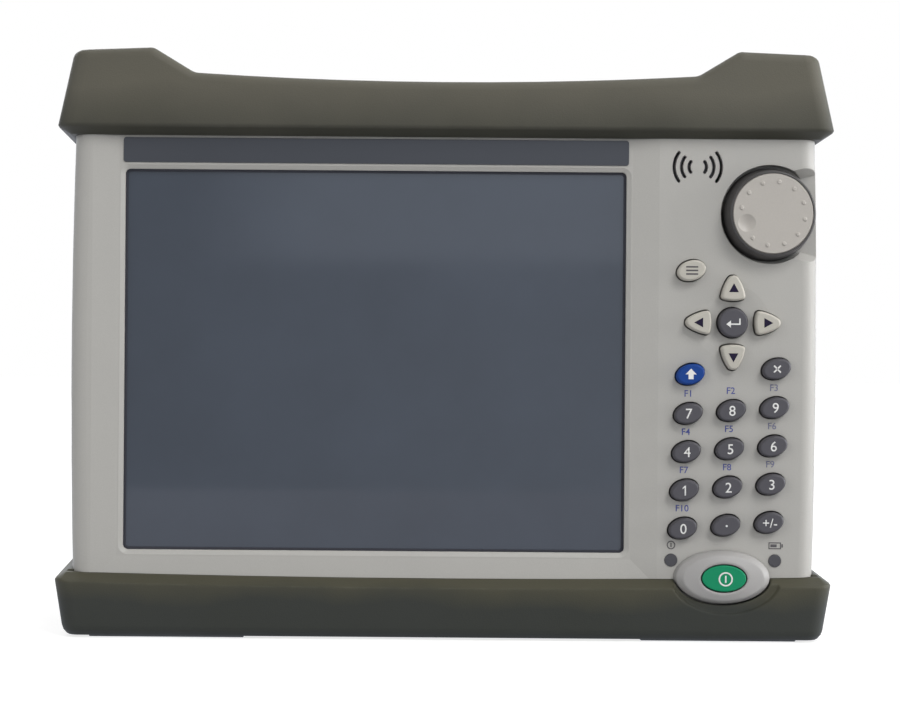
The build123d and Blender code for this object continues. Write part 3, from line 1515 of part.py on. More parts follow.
for label, spot in zip(("rf_port_left", "rf_port_right"), port_spots):
    with BuildPart() as rf_port:
        with BuildSketch(Plane.XY.offset(plate_top_z)):
            with Locations(spot):
                RectangleRounded(port_flange, port_flange, port_neck_r / 4)
                with GridLocations(port_screw_pitch, port_screw_pitch, 2, 2):
                    Circle(port_screw_r, mode=Mode.SUBTRACT)
        extrude(amount=port_flange_thick)
        with BuildSketch(Plane.XY.offset(plate_top_z - port_shank)):
            with Locations(spot):
                Circle(port_shank_r)
        extrude(amount=port_shank)
        with BuildSketch(Plane.XY.offset(plate_top_z)):
            with Locations(spot):
                Circle(port_neck_r)
        extrude(amount=port_flange_thick + port_relief)
        with BuildSketch(Plane.XY.offset(plate_top_z + port_flange_thick + port_relief)):
            with Locations(spot):
                Circle(port_thread_r)
        extrude(amount=port_height - port_flange_thick - port_relief)
        with BuildSketch(Plane.XY.offset(plate_top_z + port_height)):
            with Locations(spot):
                Circle(port_bore_r)
                Circle(port_pin_r, mode=Mode.SUBTRACT)
        extrude(amount=-port_bore_depth, mode=Mode.SUBTRACT)
    save(rf_port, label)

with BuildPart() as port_screws:
    for spot in port_spots:
        with BuildSketch(Plane.XY.offset(plate_top_z + port_flange_thick)):
            with Locations(spot):
                with GridLocations(port_screw_pitch, port_screw_pitch, 2, 2):
                    Circle(port_screw_head_r)
        extrude(amount=port_screw_head)
        with BuildSketch(Plane.XY.offset(plate_top_z + port_flange_thick)):
            with Locations(spot):
                with GridLocations(port_screw_pitch, port_screw_pitch, 2, 2):
                    Circle(port_screw_r)
        extrude(amount=-(port_flange_thick + plate_thick))
save(port_screws, "port_screws")

with BuildPart() as usb_port:
    with BuildSketch(Plane.XY.offset(plate_top_z + usb_rise)):
        with Locations((usb_x, port_y)):
            Rectangle(usb_wide, usb_deep)
    extrude(amount=-usb_sink)
    with BuildSketch(Plane.XY.offset(plate_top_z)):
        with Locations((usb_x, port_y)):
            Rectangle(usb_wide + 2 * socket_lip, usb_deep + 2 * socket_lip)
    extrude(amount=usb_shell)
    with BuildSketch(Plane.XY.offset(plate_top_z + usb_rise)):
        with Locations((usb_x, port_y)):
            Rectangle(usb_wide - 2 * usb_shell, usb_deep - 2 * usb_shell)
    extrude(amount=-(usb_sink - usb_rise), mode=Mode.SUBTRACT)
    # tongue with the contacts
    with BuildSketch(Plane.XY.offset(plate_top_z)):
        with Locations((usb_x, port_y + usb_deep / 6)):
            Rectangle(usb_wide - 4 * usb_shell, usb_deep / 4)
    extrude(amount=-(usb_sink - usb_rise))
save(usb_port, "usb_port")

with BuildPart() as mini_usb_port:
    with BuildSketch(Plane.XY.offset(plate_top_z + mini_rise)):
        with Locations((mini_x, port_y)):
            Rectangle(mini_wide, mini_deep)
    extrude(amount=-mini_sink)
    with BuildSketch(Plane.XY.offset(plate_top_z)):
        with Locations((mini_x, port_y)):
            Rectangle(mini_wide + 2 * socket_lip, mini_deep + 2 * socket_lip)
    extrude(amount=usb_shell)
    with BuildSketch(Plane.XY.offset(plate_top_z + mini_rise)):
        with Locations((mini_x, port_y)):
            Trapezoid(mini_wide - 2 * usb_shell, mini_deep - 2 * usb_shell, mini_flank)
    extrude(amount=-(mini_sink - mini_rise), mode=Mode.SUBTRACT)
    with BuildSketch(Plane.XY.offset(plate_top_z)):
        with Locations((mini_x, port_y)):
            Rectangle(mini_wide / 2, mini_deep / 5)
    extrude(amount=-(mini_sink - mini_rise))
save(mini_usb_port, "mini_usb_port")

with BuildPart() as headset_jack:
    with BuildSketch(Plane.XY.offset(plate_top_z)):
        with Locations((jack_x, port_y)):
            Circle(jack_r + socket_lip)
    extrude(amount=jack_rise)
    with BuildSketch(Plane.XY.offset(plate_top_z)):
        with Locations((jack_x, port_y)):
            Circle(jack_r)
    extrude(amount=-(jack_sink - jack_rise))
    with BuildSketch(Plane.XY.offset(plate_top_z + jack_rise)):
        with Locations((jack_x, port_y)):
            Circle(jack_bore_r)
    extrude(amount=-jack_depth, mode=Mode.SUBTRACT)
save(headset_jack, "headset_jack")

with BuildPart() as supply_jack:
    with BuildSketch(Plane.XY.offset(plate_top_z)):
        with Locations((supply_x, port_y)):
            Circle(supply_r + socket_lip)
    extrude(amount=supply_rise)
    with BuildSketch(Plane.XY.offset(plate_top_z)):
        with Locations((supply_x, port_y)):
            Circle(supply_r)
    extrude(amount=-(supply_sink - supply_rise))
    with BuildSketch(Plane.XY.offset(plate_top_z + supply_rise)):
        with Locations((supply_x, port_y)):
            Circle(supply_bore_r)
            Circle(supply_pin_r, mode=Mode.SUBTRACT)
    extrude(amount=-supply_depth, mode=Mode.SUBTRACT)
save(supply_jack, "supply_jack")
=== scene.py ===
"""Antenna analyzer: finishes, printed marks, thread, floor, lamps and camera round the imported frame.

Metres, in the frame's axes: +X is the user's right, the screen faces -Y and +Z is up.
"""

import math

import bmesh
import bpy
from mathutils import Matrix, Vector


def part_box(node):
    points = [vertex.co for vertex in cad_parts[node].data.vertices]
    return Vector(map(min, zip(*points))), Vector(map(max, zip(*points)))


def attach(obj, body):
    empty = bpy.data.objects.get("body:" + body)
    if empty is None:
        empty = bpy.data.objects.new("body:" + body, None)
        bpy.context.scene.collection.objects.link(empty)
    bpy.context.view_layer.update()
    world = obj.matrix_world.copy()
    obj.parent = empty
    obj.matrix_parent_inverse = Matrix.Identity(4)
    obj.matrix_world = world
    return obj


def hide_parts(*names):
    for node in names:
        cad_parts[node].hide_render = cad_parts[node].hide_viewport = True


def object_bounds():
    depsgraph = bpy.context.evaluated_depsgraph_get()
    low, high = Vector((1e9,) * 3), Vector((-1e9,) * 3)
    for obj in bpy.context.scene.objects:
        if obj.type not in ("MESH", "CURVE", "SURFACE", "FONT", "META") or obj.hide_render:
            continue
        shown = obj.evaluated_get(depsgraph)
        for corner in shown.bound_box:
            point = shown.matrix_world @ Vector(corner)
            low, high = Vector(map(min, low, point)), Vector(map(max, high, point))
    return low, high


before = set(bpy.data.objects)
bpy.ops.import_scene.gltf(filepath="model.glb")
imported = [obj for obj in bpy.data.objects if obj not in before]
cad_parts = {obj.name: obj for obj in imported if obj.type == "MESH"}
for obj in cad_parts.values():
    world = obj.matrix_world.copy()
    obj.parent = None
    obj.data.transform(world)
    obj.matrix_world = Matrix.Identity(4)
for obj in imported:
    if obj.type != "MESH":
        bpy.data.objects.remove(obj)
cad_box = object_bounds()
mm = 0.001


# ---------------------------------------------------------------- case halves
# The two grey shells are injection moulded in coloured plastic with a fine eroded grain. They
# meet on a joint round the sides, and six screws hold them together.
def paint(red, green, blue):
    """An sRGB colour, 0 to 255, as the linear colour that a shader socket takes."""
    linear = [
        ((level / 255 + 0.055) / 1.055) ** 2.4 if level > 10 else level / 3294
        for level in (red, green, blue)
    ]
    return (*linear, 1.0)


def effect(name, takes, gives):
    """An empty shader node group with named sockets: its tree, its input node and its output node."""
    tree = bpy.data.node_groups.new(name, "ShaderNodeTree")
    for label, kind, value in takes:
        socket = tree.interface.new_socket(label, in_out="INPUT", socket_type=f"NodeSocket{kind}")
        socket.default_value = value
    for label, kind in gives:
        tree.interface.new_socket(label, in_out="OUTPUT", socket_type=f"NodeSocket{kind}")
    return tree, tree.nodes.new("NodeGroupInput"), tree.nodes.new("NodeGroupOutput")


def math_node(tree, operation, first, second=None, clamp=False):
    """The output of a Math node on one or two sockets or numbers."""
    node = tree.nodes.new("ShaderNodeMath")
    node.operation = operation
    node.use_clamp = clamp
    for slot, value in enumerate((first, second)):
        if isinstance(value, bpy.types.NodeSocket):
            tree.links.new(value, node.inputs[slot])
        elif value is not None:
            node.inputs[slot].default_value = value
    return node.outputs[0]


def spread(tree, value, low, high, new_low, new_high):
    """The output of a Map Range node that carries value from low..high to new_low..new_high."""
    node = tree.nodes.new("ShaderNodeMapRange")
    tree.links.new(value, node.inputs["Value"])
    ends = (("From Min", low), ("From Max", high), ("To Min", new_low), ("To Max", new_high))
    for label, number in ends:
        if isinstance(number, bpy.types.NodeSocket):
            tree.links.new(number, node.inputs[label])
        else:
            node.inputs[label].default_value = number
    return node.outputs["Result"]


def blend_colours(tree, share, first, second, way="MIX"):
    """The output of a Mix node between two colours."""
    node = tree.nodes.new("ShaderNodeMix")
    node.data_type = "RGBA"
    node.blend_type = way
    for slot, value in ((0, share), (6, first), (7, second)):
        if isinstance(value, bpy.types.NodeSocket):
            tree.links.new(value, node.inputs[slot])
        else:
            node.inputs[slot].default_value = value
    return node.outputs[2]


def grain_noise(tree, place, size, detail=2.0):
    """The value of a noise whose lumps are about size across, in the object's own metres."""
    noise = tree.nodes.new("ShaderNodeTexNoise")
    noise.inputs["Detail"].default_value = detail
    tree.links.new(place, noise.inputs["Vector"])
    if isinstance(size, bpy.types.NodeSocket):
        tree.links.new(math_node(tree, "DIVIDE", 1.0, size), noise.inputs["Scale"])
    else:
        noise.inputs["Scale"].default_value = 1 / size
    return noise.outputs["Fac"]


# eroded grain of a mould, with slow drifts of tone as the plastic flowed and aged
moulded_grain, grain_in, grain_out = effect(
    "moulded_grain",
    [("Colour", "Color", (0.5, 0.5, 0.5, 1)), ("Grain size", "Float", 0.4 * mm), ("Drift", "Float", 0.05)],
    [("Colour", "Color"), ("Height", "Float"), ("Drift", "Float")],
)
place = moulded_grain.nodes.new("ShaderNodeTexCoord").outputs["Object"]
fine = grain_noise(moulded_grain, place, grain_in.outputs["Grain size"])
slow = grain_noise(moulded_grain, place, 38 * mm, detail=4.0)
lowest = math_node(moulded_grain, "SUBTRACT", 1.0, grain_in.outputs["Drift"])
highest = math_node(moulded_grain, "ADD", 1.0, grain_in.outputs["Drift"])
tone = spread(moulded_grain, slow, 0.3, 0.7, lowest, highest)
speck = spread(moulded_grain, fine, 0.25, 0.75, 0.97, 1.03)
toned = math_node(moulded_grain, "MULTIPLY", tone, speck)
moulded_grain.links.new(
    blend_colours(moulded_grain, 1.0, grain_in.outputs["Colour"], toned, "MULTIPLY"),
    grain_out.inputs["Colour"],
)
moulded_grain.links.new(fine, grain_out.inputs["Height"])
moulded_grain.links.new(slow, grain_out.inputs["Drift"])

# edges that hands and benches have rubbed, with the small radius that every moulded edge has
rubbed_edge, edge_in, edge_out = effect(
    "rubbed_edge",
    [("Radius", "Float", 0.4 * mm), ("Rub", "Float", 0.5)],
    [("Mask", "Float"), ("Normal", "Vector")],
)
bevel = rubbed_edge.nodes.new("ShaderNodeBevel")
bevel.samples = 6
rubbed_edge.links.new(edge_in.outputs["Radius"], bevel.inputs["Radius"])
facing = rubbed_edge.nodes.new("ShaderNodeNewGeometry")
turn = rubbed_edge.nodes.new("ShaderNodeVectorMath")
turn.operation = "DOT_PRODUCT"
rubbed_edge.links.new(bevel.outputs["Normal"], turn.inputs[0])
rubbed_edge.links.new(facing.outputs["Normal"], turn.inputs[1])
bend = spread(rubbed_edge, turn.outputs["Value"], 0.998, 0.86, 0.0, 1.0)
place = rubbed_edge.nodes.new("ShaderNodeTexCoord").outputs["Object"]
patches = spread(rubbed_edge, grain_noise(rubbed_edge, place, 9 * mm, detail=5.0), 0.42, 0.68, 0.0, 1.0)
rubbed = math_node(rubbed_edge, "MULTIPLY", bend, patches)
rubbed_edge.links.new(
    math_node(rubbed_edge, "MULTIPLY", rubbed, edge_in.outputs["Rub"], clamp=True),
    edge_out.inputs["Mask"],
)
rubbed_edge.links.new(bevel.outputs["Normal"], edge_out.inputs["Normal"])

# dirt that gathers where two pieces meet, and painted shade there too: darker wherever the surface is closed
# in
dirt_and_corner_shade, shade_dirt_in, shade_dirt_out = effect(
    "dirt_and_corner_shade", [("Reach", "Float", 2 * mm), ("Amount", "Float", 0.5)], [("Mask", "Float")]
)
# painted shade: ambient occlusion darkens the colour where the surface is closed in, broken up like dirt
hollow = dirt_and_corner_shade.nodes.new("ShaderNodeAmbientOcclusion")
hollow.samples = 6
dirt_and_corner_shade.links.new(shade_dirt_in.outputs["Reach"], hollow.inputs["Distance"])
closed = spread(dirt_and_corner_shade, hollow.outputs["AO"], 0.75, 0.25, 0.0, 1.0)
place = dirt_and_corner_shade.nodes.new("ShaderNodeTexCoord").outputs["Object"]
uneven = spread(dirt_and_corner_shade, grain_noise(dirt_and_corner_shade, place, 14 * mm, detail=3.0), 0.3, 0.7, 0.55, 1.0)
shaded_dirt = math_node(dirt_and_corner_shade, "MULTIPLY", closed, uneven)
dirt_and_corner_shade.links.new(
    math_node(dirt_and_corner_shade, "MULTIPLY", shaded_dirt, shade_dirt_in.outputs["Amount"], clamp=True),
    shade_dirt_out.inputs["Mask"],
)


def put_in(tree, group, **values):
    """A group's node in a material, with its values given by name (spaces written as _)."""
    node = tree.nodes.new("ShaderNodeGroup")
    node.node_tree = group
    for label, value in values.items():
        node.inputs[label.replace("_", " ")].default_value = value
    return node


def moulded(
    name,
    colour,
    roughness,
    grain=0.35 * mm,
    depth=0.02 * mm,
    drift=0.05,
    radius=0.3 * mm,
    rub=0.35,
    rubbed_to=None,
    dirt_and_shade=0.5,
    dirt_and_shade_reach=1.5 * mm,
    dirt_and_shade_colour=(0.03, 0.028, 0.024, 1),
    gloss=0.5,
):
    """A moulded plastic or rubber finish: grain, rubbed edges, and dirt with painted shade in the corners.
    """
    finish = bpy.data.materials.new(name)
    finish.use_nodes = True
    tree = finish.node_tree
    surface = tree.nodes["Principled BSDF"]
    skin = put_in(tree, moulded_grain, Colour=colour, Grain_size=grain, Drift=drift)
    edge = put_in(tree, rubbed_edge, Radius=radius, Rub=rub)
    corner = put_in(tree, dirt_and_corner_shade, Reach=dirt_and_shade_reach, Amount=dirt_and_shade)
    worn = rubbed_to or (*[min(1.0, level * 1.35 + 0.02) for level in colour[:3]], 1.0)
    clean = blend_colours(tree, edge.outputs["Mask"], skin.outputs["Colour"], worn)
    tree.links.new(
        blend_colours(tree, corner.outputs["Mask"], clean, dirt_and_shade_colour), surface.inputs["Base Color"]
    )
    tree.links.new(
        spread(tree, skin.outputs["Drift"], 0.3, 0.7, roughness - 0.05, roughness + 0.05),
        surface.inputs["Roughness"],
    )
    surface.inputs["Specular IOR Level"].default_value = gloss
    bump = tree.nodes.new("ShaderNodeBump")
    bump.inputs["Distance"].default_value = depth
    tree.links.new(skin.outputs["Height"], bump.inputs["Height"])
    tree.links.new(edge.outputs["Normal"], bump.inputs["Normal"])
    tree.links.new(bump.outputs["Normal"], surface.inputs["Normal"])
    return finish


def dress(finish, *names):
    """Give CAD nodes a finish."""
    for name in names:
        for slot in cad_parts[name].material_slots:
            slot.material = finish


case_grey = moulded("case_grey", paint(170, 168, 163), 0.52, drift=0.02, rub=0.25, dirt_and_shade=0.55)
dress(case_grey, "front_case", "rear_case", "socket_tub", "bail_tray")


# ---------------------------------------------------------------- rubber bumpers
# Two thick end bumpers of olive-grey rubber are stretched over the ends of the case. They take scuffs on the
# crests and dirt in the corners, with painted shade there too, and painted shade darkens each one below a
# given height.
# painted shade: the rubber is darker below a height whose line wavers a little
low_shade, low_shade_in, low_shade_out = effect(
    "low_shade",
    [("Clean height", "Float", 0.2), ("Soiled height", "Float", 0.18), ("Amount", "Float", 0.4)],
    [("Mask", "Float")],
)
place = low_shade.nodes.new("ShaderNodeTexCoord").outputs["Object"]
height = low_shade.nodes.new("ShaderNodeSeparateXYZ")
low_shade.links.new(place, height.inputs[0])
waves = spread(low_shade, grain_noise(low_shade, place, 45 * mm, detail=3.0), 0.3, 0.7, -3 * mm, 3 * mm)
level = math_node(low_shade, "ADD", height.outputs["Z"], waves)
unshaded_height, shaded_height = low_shade_in.outputs["Clean height"], low_shade_in.outputs["Soiled height"]
shaded = spread(low_shade, level, unshaded_height, shaded_height, 0.0, 1.0)
low_shade.links.new(
    math_node(low_shade, "MULTIPLY", shaded, low_shade_in.outputs["Amount"], clamp=True),
    low_shade_out.inputs["Mask"],
)


def rubber(name, colour, scuffed, shade_colour, unshaded_z, shaded_z, amount):
    """Bumper rubber with scuffed crests, dirt and painted shade in its corners, and painted shade below a
    height.
    """
    finish = moulded(
        name,
        colour,
        0.6,
        grain=0.5 * mm,
        depth=0.05 * mm,
        drift=0.06,
        radius=1.2 * mm,
        rub=0.45,
        rubbed_to=scuffed,
        dirt_and_shade=0.6,
        dirt_and_shade_reach=4 * mm,
        gloss=0.3,
    )
    tree = finish.node_tree
    into = tree.nodes["Principled BSDF"].inputs["Base Color"]
    shading = put_in(tree, low_shade, Clean_height=unshaded_z, Soiled_height=shaded_z, Amount=amount)
    before = into.links[0].from_socket
    tree.links.new(blend_colours(tree, shading.outputs["Mask"], before, shade_colour), into)
    return finish


lip_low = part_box("top_bumper")[0].z
top_rubber = rubber(
    "top_rubber",
    paint(84, 81, 70),
    paint(110, 108, 97),
    paint(20, 22, 8),
    unshaded_z=lip_low + 21 * mm,
    shaded_z=lip_low + 2 * mm,
    amount=0.75,
)
dress(top_rubber, "top_bumper")
# the bottom bumper's rubber is darker than the top one's: partly painted shade, partly a hue of its own
low_rubber = rubber(
    "low_rubber",
    paint(66, 64, 50),
    paint(96, 95, 80),
    paint(36, 39, 35),
    unshaded_z=20 * mm,
    shaded_z=12 * mm,
    amount=0.85,
)
dress(low_rubber, "bottom_bumper")


# ---------------------------------------------------------------- label band
# A thin dark film is stuck on above the screen. It has no lettering and no sign, only its
# satin ground.
band_film = moulded(
    "band_film", paint(37, 39, 44), 0.38, grain=0.2 * mm, depth=0.004 * mm, drift=0.05, rub=0.0, dirt_and_shade=0.2
)
dress(band_film, "label_band")


# ---------------------------------------------------------------- screen
# A resistive touch panel, a film over glass with a fine matte coat, lies over the display. A
# black foam gasket shows as a thin line round it. The display is off, so it reads slate grey.
touch_panel = bpy.data.materials.new("touch_panel")
touch_panel.use_nodes = True
panel_tree = touch_panel.node_tree
panel_surface = panel_tree.nodes["Principled BSDF"]
wiped = put_in(panel_tree, moulded_grain, Colour=paint(50, 57, 68), Grain_size=0.15 * mm, Drift=0.1)
panel_tree.links.new(wiped.outputs["Colour"], panel_surface.inputs["Base Color"])
panel_tree.links.new(
    spread(panel_tree, wiped.outputs["Drift"], 0.3, 0.7, 0.03, 0.06), panel_surface.inputs["Roughness"]
)
panel_surface.inputs["IOR"].default_value = 1.5
dress(touch_panel, "touch_lens")
gasket_black = moulded(
    "gasket_black", paint(30, 30, 38), 0.7, grain=0.3 * mm, depth=0.03 * mm, drift=0.05, rub=0.0, dirt_and_shade=0.0
)
dress(gasket_black, "screen_gasket")
display_grey = moulded(
    "display_grey", paint(70, 74, 80), 0.3, grain=0.1 * mm, depth=0.002 * mm, drift=0.03, rub=0.0, dirt_and_shade=0.1
)
dress(display_grey, "lcd_module")


# ---------------------------------------------------------------- keys
# Separate silicone caps stand through holes in the panel, each with a flange behind it. Number
# keys, enter and escape are dark grey, one is blue, and menu and arrows are light.
key_dark = moulded(
    "key_dark",
    paint(66, 64, 68),
    0.5,
    grain=0.2 * mm,
    depth=0.01 * mm,
    radius=0.5 * mm,
    rub=0.3,
    dirt_and_shade=0.8,
    dirt_and_shade_reach=1.2 * mm,
    dirt_and_shade_colour=paint(24, 22, 22),
    gloss=0.4,
)
key_light = moulded(
    "key_light",
    paint(180, 176, 166),
    0.5,
    grain=0.2 * mm,
    depth=0.01 * mm,
    drift=0.03,
    radius=0.5 * mm,
    rub=0.2,
    dirt_and_shade=0.8,
    dirt_and_shade_reach=1.4 * mm,
    dirt_and_shade_colour=paint(38, 34, 30),
)
key_blue = moulded(
    "key_blue",
    paint(0, 56, 130),
    0.55,
    grain=0.2 * mm,
    depth=0.01 * mm,
    radius=0.5 * mm,
    rub=0.3,
    dirt_and_shade=0.8,
    dirt_and_shade_reach=1.2 * mm,
    dirt_and_shade_colour=paint(16, 22, 60),
    gloss=0.28,
)
number_keys = [f"key_{digit}" for digit in range(10)]
dress(key_dark, *number_keys, "key_point", "key_sign", "key_esc", "key_enter")
dress(key_light, "key_menu", "key_up", "key_left", "key_down", "key_right")
dress(key_blue, "key_shift")


# ---------------------------------------------------------------- printed marks
# Key legends and panel marks are pad printed: thin ink on the surface, numbers and plain signs
# only. Small marks over the number keys tell their second use, in blue.
def ink(name, colour):
    """Matte printing ink, slightly uneven where it was rubbed."""
    return moulded(
        name, colour, 0.55, grain=0.12 * mm, depth=0.004 * mm, drift=0.06, rub=0.0, dirt_and_shade=0.0, gloss=0.15
    )


white_ink = ink("white_ink", paint(232, 232, 230))
black_ink = ink("black_ink", paint(24, 16, 40))
blue_ink = ink("blue_ink", paint(84, 92, 158))
faded_ink = ink("faded_ink", paint(122, 124, 150))
grey_ink = ink("grey_ink", paint(92, 90, 92))
ink_lift = 0.03 * mm           # middle of the printed film above the surface
ink_thick = 0.03 * mm
cap_share = 0.7                # capital height of the built-in font, as a share of its size


def middle(node):
    """Middle of a CAD node's box as x and z, and the y of its front."""
    low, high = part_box(node)
    return (low.x + high.x) / 2, (low.z + high.z) / 2, low.y


def print_words(name, words, tall, x, z, face_y, colour, body):
    """Printed figures, tall high, with their middle at x, z on a surface at face_y."""
    letters = bpy.data.curves.new(name, "FONT")
    letters.body = words
    letters.size = tall / cap_share
    letters.extrude = ink_thick / 2
    letters.offset = tall * 0.008
    letters.resolution_u = 4
    letters.materials.append(colour)
    piece = bpy.data.objects.new(name, letters)
    bpy.context.scene.collection.objects.link(piece)
    bpy.context.view_layer.update()
    corners = [Vector(corner) for corner in piece.bound_box]
    left = min(corner.x for corner in corners)
    right = max(corner.x for corner in corners)
    low = min(corner.y for corner in corners)
    high = max(corner.y for corner in corners)
    piece.location = (x - (left + right) / 2, face_y - ink_lift, z - (low + high) / 2)
    piece.rotation_euler = (math.radians(90), 0, 0)
    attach(piece, body)


def print_shape(name, outlines, x, z, face_y, colour, body):
    """A printed sign made of closed outlines, each a list of points from its own middle."""
    shape = bpy.data.curves.new(name, "CURVE")
    shape.dimensions = "2D"
    shape.fill_mode = "BOTH"
    shape.extrude = ink_thick / 2
    shape.materials.append(colour)
    for outline in outlines:
        line = shape.splines.new("POLY")
        line.points.add(len(outline) - 1)
        for point, (across, up) in zip(line.points, outline):
            point.co = (across, up, 0, 1)
        line.use_cyclic_u = True
    piece = bpy.data.objects.new(name, shape)
    bpy.context.scene.collection.objects.link(piece)
    piece.location = (x, face_y - ink_lift, z)
    piece.rotation_euler = (math.radians(90), 0, 0)
    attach(piece, body)


def bar(half_long, half_wide, x=0.0, z=0.0, turn=0.0):
    """Corners of a straight printed bar."""
    across, along = math.cos(math.radians(turn)), math.sin(math.radians(turn))
    ends = ((-1, -1), (1, -1), (1, 1), (-1, 1))
    return [
        (
            x + side * half_long * across - edge * half_wide * along,
            z + side * half_long * along + edge * half_wide * across,
        )
        for side, edge in ends
    ]


def ring(radius, steps=40):
    """Points of a printed circle."""
    return [
        (radius * math.cos(2 * math.pi * step / steps), radius * math.sin(2 * math.pi * step / steps))
        for step in range(steps)
    ]


def triangle(reach, half_base, turn):
    """Corners of an arrow head that points up before it is turned."""
    spin = math.radians(turn)
    corners = ((0, reach * 0.55), (-half_base, -reach * 0.45), (half_base, -reach * 0.45))
    return [
        (x * math.cos(spin) - z * math.sin(spin), x * math.sin(spin) + z * math.cos(spin))
        for x, z in corners
    ]


digit_tall = 3.5 * mm
for digit, key in enumerate(number_keys):
    x, z, face_y = middle(key)
    if digit != 1:
        print_words(f"legend_{digit}", str(digit), digit_tall, x, z, face_y, white_ink, key)
x, z, face_y = middle("key_1")
stem = 0.24 * mm
half_tall = digit_tall / 2
flagged_one = [
    (-stem, -half_tall),
    (stem, -half_tall),
    (stem, half_tall),
    (-0.1 * mm, half_tall),
    (-0.95 * mm, half_tall - 0.85 * mm),
    (-0.95 * mm, half_tall - 1.3 * mm),
    (-stem, half_tall - 0.75 * mm),
]
print_shape("legend_1", [flagged_one], x, z, face_y, white_ink, "key_1")
x, z, face_y = middle("key_point")
print_shape("legend_point", [ring(0.38 * mm, 16)], x, z, face_y, white_ink, "key_point")
x, z, face_y = middle("key_sign")
print_words("legend_sign", "+/-", digit_tall * 0.9, x, z, face_y, white_ink, "key_sign")

arrow_reach = 3.1 * mm
for key, turn in (("key_up", 0), ("key_left", 90), ("key_down", 180), ("key_right", 270)):
    x, z, face_y = middle(key)
    head = triangle(arrow_reach, 0.55 * arrow_reach, turn)
    print_shape(f"sign_{key}", [head], x, z, face_y, black_ink, key)

x, z, face_y = middle("key_menu")
menu_bars = [bar(2.1 * mm, 0.26 * mm, 0, rise * 1.25 * mm) for rise in (-1, 0, 1)]
print_shape("sign_key_menu", menu_bars, x, z, face_y, grey_ink, "key_menu")
x, z, face_y = middle("key_shift")
shift_arrow = [
    (0, 2.0 * mm),
    (-2.0 * mm, 0),
    (-0.9 * mm, 0),
    (-0.9 * mm, -1.7 * mm),
    (0.9 * mm, -1.7 * mm),
    (0.9 * mm, 0),
    (2.0 * mm, 0),
]
print_shape("sign_key_shift", [shift_arrow], x, z, face_y, white_ink, "key_shift")
x, z, face_y = middle("key_esc")
cross = [bar(1.7 * mm, 0.27 * mm, turn=45), bar(1.7 * mm, 0.27 * mm, turn=-45)]
print_shape("sign_key_esc", cross[:1], x, z, face_y, white_ink, "key_esc")
print_shape("sign_key_esc_back", cross[1:], x, z, face_y, white_ink, "key_esc")
x, z, face_y = middle("key_enter")
enter_arrow = [
    (2.4 * mm, 1.5 * mm),
    (1.9 * mm, 1.5 * mm),
    (1.9 * mm, -0.25 * mm),
    (-1.0 * mm, -0.25 * mm),
    (-1.0 * mm, 0.8 * mm),
    (-2.6 * mm, -0.5 * mm),
    (-1.0 * mm, -1.8 * mm),
    (-1.0 * mm, -0.75 * mm),
    (2.4 * mm, -0.75 * mm),
]
print_shape("sign_key_enter", [enter_arrow], x, z, face_y, white_ink, "key_enter")

# second uses over the number keys, on the panel itself, worn in the right column
panel_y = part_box("front_case")[0].y
mark_tall = 2.3 * mm
mark_rise = 7.0 * mm
rows_of_three = ("key_7", "key_8", "key_9", "key_4", "key_5", "key_6", "key_1", "key_2", "key_3")
for mark, key in enumerate((*rows_of_three, "key_0")):
    x, z, face_y = middle(key)
    marking = faded_ink if mark % 3 == 2 else blue_ink
    use = f"F{mark + 1}"
    print_words(f"mark_{use}", use, mark_tall, x, z + mark_rise, panel_y, marking, "case")


# ---------------------------------------------------------------- speaker slots
# Six arched slots let the sound out. A thin dark border is printed round each as painted shade, so that the
# slots read wider and darker at their edges.
def arch(radius, half_wide, half_angle, turn, steps=16):
    """Outline of an arched stroke with round ends, about the middle of its circle."""
    points = []
    for side, start in ((1, 0.0), (-1, math.pi)):
        for step in range(steps + 1):
            angle = math.radians(turn + side * half_angle * (2 * step / steps - 1))
            reach = radius + side * half_wide
            points.append((reach * math.cos(angle), reach * math.sin(angle)))
        end = math.radians(turn + side * half_angle)
        for step in range(1, 6):
            swing = end + start + math.pi * step / 6
            across = radius * math.cos(end) + half_wide * math.cos(swing)
            points.append((across, radius * math.sin(end) + half_wide * math.sin(swing)))
    return points


slot_radii = (3.05 * mm, 5.7 * mm, 8.3 * mm)
slot_half_angle = 37.0
slot_half = 0.475 * mm
slot_shade_rim = 0.12 * mm
# painted shade: a dark rim printed round each slot
slot_shade_ink = ink("slot_shade_ink", paint(88, 82, 90))
x, z, face_y = middle("speaker")
for order, radius in enumerate(slot_radii):
    for turn, side in ((0, "right"), (180, "left")):
        strokes = [
            arch(radius, slot_half + slot_shade_rim, slot_half_angle, turn),
            arch(radius, slot_half, slot_half_angle, turn),
        ]
        print_shape(f"slot_shade_rim_{side}_{order}", strokes, x, z, panel_y, slot_shade_ink, "case")


# ---------------------------------------------------------------- power button and lamps
# A green rubber button sits in a raised oval ring of satin plastic. Its sign and the two marks
# over the lamps are printed. The lamps are unlit, so their smoked lenses read dark.
bezel_satin = moulded(
    "bezel_satin",
    paint(159, 157, 155),
    0.5,
    grain=0.25 * mm,
    depth=0.006 * mm,
    radius=1.2 * mm,
    rub=0.1,
    dirt_and_shade=0.25,
)
dress(bezel_satin, "power_bezel")
power_green = moulded(
    "power_green",
    paint(0, 130, 88),
    0.55,
    grain=0.2 * mm,
    depth=0.01 * mm,
    drift=0.03,
    radius=0.4 * mm,
    rub=0.25,
    dirt_and_shade=0.6,
    dirt_and_shade_reach=1.0 * mm,
    gloss=0.28,
)
dress(power_green, "power_button")
x, z, face_y = middle("power_button")
sign_right = 0.5 * mm          # from the middle of the button
sign_drop = 0.2 * mm
sign_r = 2.5 * mm
sign_line = 0.55 * mm
x += sign_right
z -= sign_drop
print_shape(
    "power_sign_ring", [ring(sign_r), ring(sign_r - sign_line)], x, z, face_y, white_ink, "power_button"
)
print_shape(
    "power_sign_bar", [bar(1.25 * mm, sign_line / 2, turn=90)], x, z, face_y, white_ink, "power_button"
)
